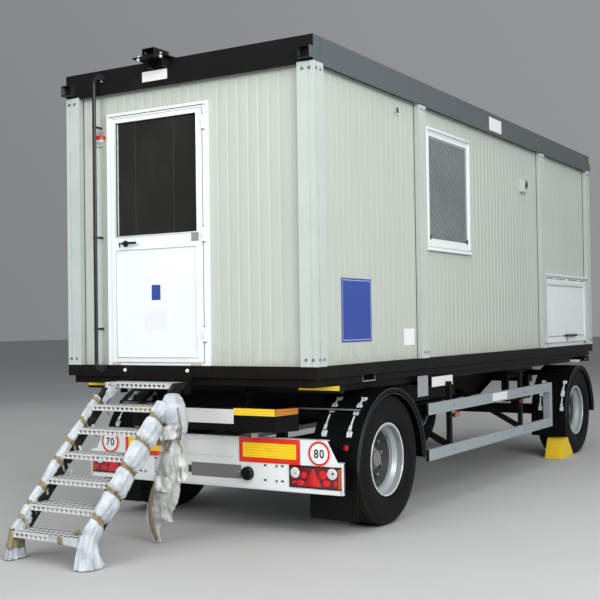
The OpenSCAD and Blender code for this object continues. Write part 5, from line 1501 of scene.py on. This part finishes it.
def dressWheel(end, hub, plan):
    side = 1 if end.endswith("right") else -1
    body = "wheel_" + end
    out = (side, 0, 0)

    def at(dx, r, a):                   # a place measured out from the wheel's middle plane
        return Vector((hub.x + side * dx, hub.y + r * math.cos(a), hub.z + r * math.sin(a)))

    turns = [2 * math.pi * (i + 0.35) / plan["nuts"] for i in range(plan["nuts"])]
    grow("wheel_nuts_" + end, "bolt", "nutSteel", body, "rim_silver",
         [(at(plan["face"], plan["nutRing"], a), out) for a in turns], **boltSize(plan))
    # hub cap with its flange, and the drum's collar
    setRounds("hub_cap_" + end, "hubGrey", [
        (at(plan["capFace"], 0, 0), out, [(0.082, -0.030), (0.084, -0.004), (0.080, 0.001), (0.0665, 0.002),
                                          (0.0665, 0.019), (0.061, 0.0235), (0.050, 0.0250), (0.047, 0.0235),
                                          (0.0, 0.0235)], 40),
        (at(plan["face"], 0, 0), out, [(0.120, 0.0), (0.117, 0.006), (0.099, 0.008), (0.092, 0.020), (0.082, 0.022)],
         40)], body, 35)
    shape = bmesh.new()
    for i in range(6):
        a = 2 * math.pi * i / 6 + 0.2
        addRound(shape, at(plan["capFace"], 0.0735, a), out, [(0.0055, 0.0), (0.0055, 0.007), (0.0, 0.008)], 6)
    a = math.radians(plan["valve"])     # valve, bent out of the dish, and its clip
    addRod(shape, [at(-0.004, 0.205, a), at(0.020, 0.212, a), at(0.048, 0.232, a + 0.02), at(0.066, 0.240, a + 0.03)],
           0.0045, 8)
    addRod(shape, [at(0.062, 0.238, a + 0.03), at(0.074, 0.243, a + 0.03)], 0.0065, 8)
    setPiece("wheel_valve_" + end, shape, "nutSteel", body, smooth=40)
    groove = [(0.2995, 0.0), (0.2995, 0.004), (0.3025, 0.004), (0.3025, 0.0), (0.2995, 0.0)]
    setRounds("bead_line_" + end, "rubber",                     # shadow groove between rim lip and tyre bead
              [(at(plan["bead"], 0, 0), out, groove, 72)], body)
    lip = [(0.2915, 0.0), (0.2925, 0.0035), (0.2955, 0.0045), (0.2985, 0.0030), (0.2990, 0.0), (0.2915, 0.0)]
    setRounds("rim_lip_highlight_" + end, "zincBright",             # bright edge of the lip, both sides, lighter than the wheel paint as a painted highlight
              [(at(way * plan["rimLip"], 0, 0), (side * way, 0, 0), lip, 96) for way in (1, -1)], body, 60)
    lugs = [2 * math.pi * i / plan["lugs"] for i in range(plan["lugs"])]
    points = [(at(s * plan["lugOut"], plan["lugRadius"], a + (0.02 if s > 0 else -0.02)), (0, math.cos(a), math.sin(a)))
              for s in (-1, 1) for a in lugs]
    grow("tread_lugs_" + end, "lug", "tread", body, "tyre", points, across=[out for _ in points], Size=plan["Size"])


for end, hub in wheelHubs.items():
    dressWheel(end, hub, wheelPlan)

chockPlan = {"x": (1.055, 1.220), "top": (2.240, 0.235), "foot": (2.110, 0.0), "panel": (0.14, 0.90), "lift": 0.007}
shape = bmesh.new()                     # raised panel moulded on the chock's sloping face
top, foot = Vector((0, *chockPlan["top"])), Vector((0, *chockPlan["foot"]))
run = foot - top
p, q = (top + run * share for share in chockPlan["panel"])
x0, x1 = chockPlan["x"]
addSlab(shape, [(x0, p.y, p.z), (x1, p.y, p.z), (x1, q.y, q.z), (x0, q.y, q.z)],
        Vector((0, run.z, -run.y)).normalized(), chockPlan["lift"])
setPiece("chock_panel", shape, "chock", "dolly")
print("wheels and chock dressed")

toothPlan = {"diamonds": 14, "width": 0.630, "deep": 0.002, "side": 0.006, "foot": 0.006, "peak": 0.031,
             "back": 0.0035}


def fillTeeth(plan):
    # the pressed teeth that stand behind each tread's serrated front edge
    low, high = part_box("stair_treads")
    pitch = plan["width"] / plan["diamonds"]
    left = (low.x + high.x) / 2 - plan["width"] / 2
    shape = bmesh.new()
    for tread in range(treadCount):
        y, z = low.y + treadGoing * tread + plan["back"], low.z + treadRise * tread
        for i in range(plan["diamonds"]):
            a, b = left + i * pitch + plan["side"], left + (i + 1) * pitch - plan["side"]
            foot, peak = z + plan["foot"], z + plan["peak"]
            addSlab(shape, [(a, y, foot), (b, y, foot), (left + (i + 0.5) * pitch, y, peak)], (0, -1, 0),
                    plan["deep"])
    setPiece("tread_teeth", shape, "treadTooth", "cabin")


fillTeeth(toothPlan)
print("stair teeth stood in the treads")


# wrapping film and brown tape on the stair

stairPlan = {"left": -0.5825, "right": 0.0825, "footY": -4.800, "knee": (-4.790, 0.185), "top": (-3.868, 1.118)}
wrapPlan = {   # cut width and length; where the tapes go, as a share of the length; fullness; where it starts and ends
    "left": {"cut": (0.29, 1.50), "bands": (0.085, 0.180, 0.262, 0.375, 0.535, 0.655, 0.795, 0.940), "full": 0.018,
             "seed": 11, "end": 0.965, "open": True, "shift": 0.0},
    "right": {"cut": (0.52, 1.50), "bands": (0.222, 0.372, 0.520, 0.680, 0.835), "full": 0.050,
              "seed": 29, "end": 0.930, "open": False, "shift": 0.014},
}


def wrapRoute(plan):                    # the middle line of a wrapped stringer, foot first, evenly spaced
    knots = [(plan["footY"], 0.004), (plan["footY"], 0.11), plan["knee"], (-4.735, 0.245), plan["top"]]
    route = []
    for a, b in zip(knots, knots[1:]):
        steps = max(3, int(math.hypot(b[0] - a[0], b[1] - a[1]) / 0.010))
        route += [(a[0] + (b[0] - a[0]) * i / steps, a[1] + (b[1] - a[1]) * i / steps) for i in range(steps)]
    route.append(knots[-1])
    for _ in range(14):                 # the film rounds off the knee
        route = [route[0]] + [((route[i - 1][0] + route[i][0] * 2 + route[i + 1][0]) / 4,
                               (route[i - 1][1] + route[i][1] * 2 + route[i + 1][1]) / 4)
                              for i in range(1, len(route) - 1)] + [route[-1]]
    return route


def pinch(share, bands, reach=0.030):   # 0 at a tape, 1 well away from it
    near = min(abs(share - b) for b in bands)
    return math.sin(min(1.0, near / reach) * math.pi / 2) ** 0.7


def thicken(piece, depth):              # gives a single skin its thickness and keeps the result
    wall = piece.modifiers.new("wall", "SOLIDIFY")
    wall.thickness, wall.offset = depth, -1
    done = bpy.data.meshes.new_from_object(piece.evaluated_get(bpy.context.evaluated_depsgraph_get()))
    piece.modifiers.clear()
    piece.data = done
    return piece


def crease(x, y, z, fine=1.0):          # sharp-edged crumple of stiff film, about -1 to 1
    ridges = noise.ridged_multi_fractal(Vector((x, y, z)), 0.85, 2.1, 4, 0.9, 1.9) - 1.15
    return ridges * 0.7 + noise.noise(Vector((x * 2.7, y * 2.7, z * 2.7))) * 0.5 * fine


def filmSleeve(name, x, wrap, route):
    shape = bmesh.new()
    around, rows, rings = 84, [], []
    count = len(route)
    seed = wrap["seed"]
    for i, (y, z) in enumerate(route):
        share = i / (count - 1)
        if share > wrap["end"]:
            break
        y0, z0 = route[max(0, i - 1)]
        y1, z1 = route[min(count - 1, i + 1)]
        ahead = Vector((0, y1 - y0, z1 - z0)).normalized()
        out = Vector((0, -ahead.z, ahead.y))                # square to the stringer, up and forward
        free = pinch(share, wrap["bands"] + (wrap["end"] + 0.005,))
        swell = wrap["full"] * free * (0.75 + 0.65 * noise.noise(Vector((share * 7.0, seed, 0.3))))
        flare = max(0.0, 1 - share / 0.12) ** 1.2 * 0.030   # the skirt spreads at the foot
        ring = []
        for k in range(around):
            a = 2 * math.pi * k / around
            ca, sa = math.cos(a), math.sin(a)
            outer = 1.0 if ca * (1 if wrap["shift"] else -1) > 0 else 0.35      # the outer side billows more
            w = 0.0225 + (swell * 0.9 + flare) * outer + (wrap["shift"] * free if ca > 0 else 0.0)
            h = 0.055 + swell * 0.62 + flare * 1.0
            square = 1 / max(abs(ca) ** 3.0 + abs(sa) ** 3.0, 1e-6) ** (1 / 3.0)
            pleat = math.sin(a * 9 + share * 16 + seed) * 0.6 + math.sin(a * 15 - share * 27 + seed * 2) * 0.4
            crush = crease(ca * 1.1 + seed, sa * 1.1, share * 11, 0.7)
            lift = pleat * 0.0034 * (1.25 - free * 0.5) + crush * 0.0085 * free + flare * pleat * 0.30
            point = Vector((x + ca * (w + lift) * square, y, z)) + out * (sa * (h + lift * 0.8) * square)
            point.z = max(point.z, 0.0015)
            ring.append(point)
        rows.append(ring)
        rings.append([shape.verts.new(p) for p in ring])
    for i, (first, second) in enumerate(zip(rings, rings[1:])):
        share = i / (count - 1)
        for k in range(around):
            j = (k + 1) % around
            a = 2 * math.pi * (k + 0.5) / around
            bare = math.cos(a) > 0.30 and math.sin(a) < 0.10 + 0.25 * noise.noise(Vector((share * 30, seed, 2)))
            if wrap["open"] and share > 0.21 and (bare or math.cos(a) > -0.2 and math.sin(a) < -0.75):
                continue                # the film stops short of the treads and leaves the web bare
            shape.faces.new((first[k], first[j], second[j], second[k]))
    last = rings[-1]                    # the top end is tucked in over the stringer
    middle = sum((v.co for v in last), Vector()) / around
    inner = [shape.verts.new(middle + (v.co - middle) * 0.6 + Vector((0, 0.006, 0.004))) for v in last]
    for k in range(around):
        a = 2 * math.pi * (k + 0.5) / around
        if not (wrap["open"] and math.cos(a) > 0.30 and math.sin(a) < 0.2):
            j = (k + 1) % around
            shape.faces.new((last[k], last[j], inner[j], inner[k]))
    bmesh.ops.delete(shape, geom=[v for v in shape.verts if not v.link_faces], context="VERTS")
    return rows, thicken(setPiece(name, shape, "film", "cabin", smooth=80), 0.0009)


def tapeBand(shape, rows, at, width, seed, parted, lean, proud=0.0018):
    # a turn of tape that follows the sleeve's own rings, leaning a little, with its edges wandering
    around = len(rows[0])
    half = width / 2 / 0.010
    bands = []
    for step in range(7):
        t = -1 + 2 * step / 6
        ring = []
        for k in range(around):
            a = 2 * math.pi * k / around
            wander = noise.noise(Vector((k * 0.13, seed, 0))) * 1.1 + math.cos(a) * lean
            spot = at + t * half * (1 + 0.35 * noise.noise(Vector((k * 0.10, seed, 5)))) + wander
            spot = min(max(spot, 0), len(rows) - 1.001)
            i = int(spot)
            p = rows[i][k].lerp(rows[i + 1][k], spot - i)
            mid = sum(rows[i], Vector()) / around
            lift = proud + 0.0009 * math.sin(k * 1.3 + seed + step)
            ring.append(shape.verts.new(p + (p - mid).normalized() * lift))
        bands.append(ring)
    for first, second in zip(bands, bands[1:]):
        for k in range(around):
            a = 2 * math.pi * (k + 0.5) / around
            if parted and math.cos(a) > 0.30 and math.sin(a) < 0.0:
                continue
            j = (k + 1) % around
            shape.faces.new((first[k], first[j], second[j], second[k]))
    k = int(around * (0.985 if parted else 0.955))
    return bands[3][k].co.copy(), (bands[6][k].co - bands[0][k].co).normalized()


def addRag(shape, start, down, wide, length, width, seed, tip=0.6, cols=7, rows=9, curls=0.35):
    # a loose end of tape or film: a strip that droops from its start, narrowing and curling
    down, wide = Vector(down).normalized(), Vector(wide).normalized()
    face = down.cross(wide).normalized()
    grid = []
    for r in range(rows):
        t = r / (rows - 1)
        row = []
        for c in range(cols):
            u = (c / (cols - 1) - 0.5) * width * (1 - (1 - tip) * t)
            curl = (noise.noise(Vector((t * 2.4, u * 30, seed))) * curls * length * t
                    + math.sin(u * 90 + seed) * 0.004 * min(1.0, curls * 3))
            row.append(shape.verts.new(Vector(start) + down * (length * t) + wide * u + face * curl))
        grid.append(row)
    for r in range(rows - 1):
        for c in range(cols - 1):
            shape.faces.new((grid[r][c], grid[r][c + 1], grid[r + 1][c + 1], grid[r + 1][c]))


def wrapStair(plan, wraps):
    route = wrapRoute(plan)
    count = len(route)
    for side in ("left", "right"):
        wrap = wraps[side]
        rows, sleeve = filmSleeve("stair_film_" + side, plan[side], wrap, route)
        shape = bmesh.new()
        rnd = random.Random(wrap["seed"])
        ends = []
        for i, share in enumerate(wrap["bands"]):
            if side == "left" and i == 0:
                wide = 0.105
            else:
                wide = 0.030 + rnd.random() * 0.014 + (0.008 if side == "right" else 0)
            ends.append(tapeBand(shape, rows, share * (count - 1), wide, i * 3.1 + wrap["seed"], wrap["open"] and i > 0,
                                 -1.2 if side == "right" else -0.6))
        for i, (spot, along) in enumerate(ends[1:]):            # their loose ends hang towards the lower right
            addRag(shape, spot, (0.25, -0.10 + 0.2 * rnd.random(), -1.0), along, 0.035 + 0.030 * rnd.random(),
                   0.034, i + wrap["seed"])
        loose = bmesh.new()
        if side == "left":              # tail above the top tape, slivers behind the web, lump on the lowest tread
            addRag(loose, (-0.548, -3.905, 1.052), (0.66, -0.05, 0.70), (0.7, 0, -0.7), 0.185, 0.040, 31, 2.3, 9, 12)
            for i, at in enumerate((0.955, 0.815, 0.675, 0.560)):
                y, z = route[int(at * (count - 1))]
                addRag(loose, (plan[side] + 0.038, y + 0.035, z - 0.030), (0.35, 0.05, -1), (0.4, 1, 0), 0.100, 0.022,
                       i + 40, 0.5, 4, 8)
            addRag(loose, (-0.640, -4.815, 0.205), (1, -0.10, -0.12), (0, -0.3, 1), 0.140, 0.060, 51, 0.7, 8, 9)
        else:
            addRag(loose, (0.060, -4.858, 0.178), (-1, -0.01, 0.05), (0, -0.10, 1), 0.270, 0.062, 52, 0.7, 8, 12, 0.02)
            addRag(shape, (-0.080, -4.862, 0.182), (-1, -0.01, 0.05), (0, -0.10, 1), 0.045, 0.058, 53, 1.0, 4, 6, 0.02)
            addRag(shape, (0.090, -4.858, 0.262), (-0.9, -0.05, -0.3), (0.1, -0.15, 1), 0.055, 0.050, 54, 0.6, 5, 6)
        loose = setPiece("stair_film_ends_" + side, loose, "film", "cabin", smooth=80)
        bands = setPiece("stair_tape_" + side, shape, "tape", "cabin", smooth=80)
        bands = thicken(bands, 0.0006)
        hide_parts("stair_wrap_" + side)


wrapStair(stairPlan, wrapPlan)
print("stair film wrapped")


# loose film gathered at the top of the right stringer, hanging to the ground

bundlePlan = {   # heights with the left and right edge, half depth, and how far it stands forward of the middle
    "y": -3.925, "cut": (0.54, 1.20), "seed": 47,
    "tube": ((1.135, 0.120, 0.190, 0.030, 0.2), (1.125, 0.096, 0.214, 0.054, 0.2), (1.085, 0.084, 0.238, 0.074, 0.25),
             (1.040, 0.080, 0.256, 0.084, 0.25), (0.990, 0.084, 0.268, 0.086, 0.3), (0.940, 0.092, 0.278, 0.080, 0.4),
             (0.895, 0.098, 0.284, 0.066, 0.8), (0.860, 0.096, 0.280, 0.052, 1.2), (0.815, 0.086, 0.262, 0.044, 1.2),
             (0.765, 0.070, 0.246, 0.042, 1.0), (0.715, 0.060, 0.236, 0.044, 0.9), (0.660, 0.012, 0.240, 0.048, 0.8),
             (0.610, -0.014, 0.244, 0.052, 0.8), (0.545, -0.008, 0.238, 0.058, 0.7), (0.485, 0.002, 0.222, 0.060, 0.8),
             (0.430, -0.024, 0.212, 0.060, 0.9), (0.385, -0.058, 0.206, 0.052, 0.7), (0.330, -0.078, 0.196, 0.044, 0.6),
             (0.270, -0.100, 0.170, 0.036, 0.5), (0.215, -0.112, 0.078, 0.030, 0.4), (0.150, -0.106, 0.034, 0.026, 0.4),
             (0.095, -0.086, 0.020, 0.020, 0.4), (0.045, -0.056, 0.032, 0.016, 0.4),
             (0.010, -0.030, 0.044, 0.012, 0.3)),
    # fold, tail, right-hand tail, lobe and torn edge: start (its y from the middle), down, wide, length, width,
    # seed, tip, columns, rows
    "flaps": (((0.184, 0.086, 0.905), (0.10, -0.22, -1), (1, 0.1, 0.10), 0.105, 0.165, 3, 0.80, 14, 12),
              ((0.140, 0.062, 0.860), (-0.10, -0.05, -1), (1, 0.2, 0.20), 0.150, 0.100, 5, 0.55, 12, 14),
              ((0.238, 0.034, 0.700), (0.22, -0.05, -1), (1, 0.3, 0.05), 0.210, 0.090, 8, 0.80, 9, 18),
              ((0.115, 0.064, 0.520), (0.05, -0.22, -1), (1, 0.1, -0.10), 0.110, 0.190, 13, 0.75, 16, 12),
              ((0.120, 0.052, 0.330), (0.30, -0.05, -1), (1, 0.05, 0.30), 0.150, 0.120, 17, 0.50, 12, 14)),
    "tapeEnds": (((0.088, 0.062, 0.860), (-0.10, -0.1, -1), (1, 0.1, 0), 0.110, 0.050, 21, 0.5),
                 ((0.155, 0.062, 0.830), (0.02, -0.1, -1), (1, 0.1, 0), 0.120, 0.018, 22, 0.7),
                 ((0.235, 0.052, 0.815), (0.55, -0.1, -1), (1, 0.1, 0), 0.130, 0.022, 23, 0.6),
                 ((0.262, 0.050, 0.600), (0.10, -0.1, -1), (1, 0.1, 0), 0.085, 0.020, 24, 0.6)),
    # tape still on it, on the right edge, the tail's left edge and the neck: half width, then its points
    "tapes": ((0.007, ((0.252, 0.052, 1.040), (0.266, 0.056, 0.985), (0.276, 0.054, 0.935), (0.286, 0.048, 0.890),
                       (0.280, 0.046, 0.850), (0.262, 0.040, 0.800))),
              (0.019, ((0.020, 0.040, 0.455), (-0.004, 0.044, 0.400), (-0.020, 0.040, 0.340), (-0.036, 0.034, 0.280),
                       (-0.040, 0.028, 0.220), (-0.030, 0.022, 0.150), (-0.008, 0.018, 0.085), (0.014, 0.014, 0.030))),
              (0.024, ((0.086, 0.050, 0.870), (0.112, 0.062, 0.845), (0.146, 0.060, 0.835), (0.176, 0.054, 0.815))))}


def hangBundle(plan):
    # one long sheet bunched up: a flattened tube whose skin is folded, pinched at its neck and torn at its foot
    shape = bmesh.new()
    seed, around = plan["seed"], 96
    stations = plan["tube"]
    rings = []
    for (za, la, ra, da, fa), (zb, lb, rb, db, fb) in zip(stations, stations[1:]):
        steps = max(2, int((za - zb) / 0.008))
        for i in range(steps):
            t = i / steps
            t2 = t * t * (3 - 2 * t)
            z, lo, hi, deep = za + (zb - za) * t, la + (lb - la) * t2, ra + (rb - ra) * t2, da + (db - da) * t2
            middle, half, folded = (lo + hi) / 2, (hi - lo) / 2, fa + (fb - fa) * t
            ring = []
            for k in range(around):
                a = 2 * math.pi * k / around
                ca, sa = math.cos(a), math.sin(a)
                u, v = abs(ca) ** 0.8 * math.copysign(1, ca), abs(sa) ** 0.8 * math.copysign(1, sa)
                pleat = (math.sin(a * 5 + z * 9 + seed) * 0.5 + math.sin(a * 8 - z * 17) * 0.35
                         + math.sin(a * 13 + z * 26) * 0.2)
                crush = crease(ca * 1.1 + seed, sa * 1.1, z * 7.5)
                deepFold = (0.013 * crush + 0.010 * pleat) * folded
                point = Vector((middle + u * (half - 0.006 + deepFold * 0.35),
                                plan["y"] + v * (deep + deepFold), z + 0.010 * noise.noise(Vector((a, z * 9, seed)))))
                ring.append(shape.verts.new(point))
            rings.append(ring)
    for first, second in zip(rings, rings[1:]):
        for k in range(around):
            j = (k + 1) % around
            shape.faces.new((first[k], first[j], second[j], second[k]))
    top = rings[0]
    crown = shape.verts.new(sum((v.co for v in top), Vector()) / around + Vector((0, 0, 0.004)))
    for k in range(around):
        shape.faces.new((top[(k + 1) % around], top[k], crown))
    for v in shape.verts:
        v.co.z = max(v.co.z, 0.002)
    body = setPiece("film_bundle_sheet", shape, "film", "cabin", smooth=70)
    body.data.materials.append(finishes["filmThin"])
    for face in body.data.polygons:     # a single layer below the neck, several above it
        face.material_index = 1 if face.center.z < 0.80 + 0.05 * noise.noise(face.center * 12) else 0
    body = thicken(body, 0.0009)

    flaps, strips, y = bmesh.new(), bmesh.new(), plan["y"]
    for (x, ahead, z), *form in plan["flaps"]:
        addRag(flaps, (x, y - ahead, z), *form)
    flaps = setPiece("film_bundle_flaps", flaps, "filmThin", "cabin", smooth=70)
    for half, path in plan["tapes"]:
        path = [(x, y - ahead, z) for x, ahead, z in path]
        pairs = []
        for i, p in enumerate(path):
            before, after = Vector(path[max(i - 1, 0)]), Vector(path[min(i + 1, len(path) - 1)])
            side = (after - before).cross(Vector((0, -1, 0))).normalized()
            bend = 0.004 * math.sin(i * 2.1)
            pairs.append([strips.verts.new(Vector(p) + side * half * s + Vector((0, bend * s - 0.009, 0)))
                          for s in (-1, 0, 1)])
        for one, two in zip(pairs, pairs[1:]):
            for k in (0, 1):
                strips.faces.new((one[k], one[k + 1], two[k + 1], two[k]))
    for (x, ahead, z), *form in plan["tapeEnds"]:
        addRag(strips, (x, y - ahead, z), *form)
    strips = thicken(setPiece("film_bundle_tape", strips, "tape", "cabin", smooth=70), 0.0006)
    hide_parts("film_bundle")


hangBundle(bundlePlan)
print("loose film hung")
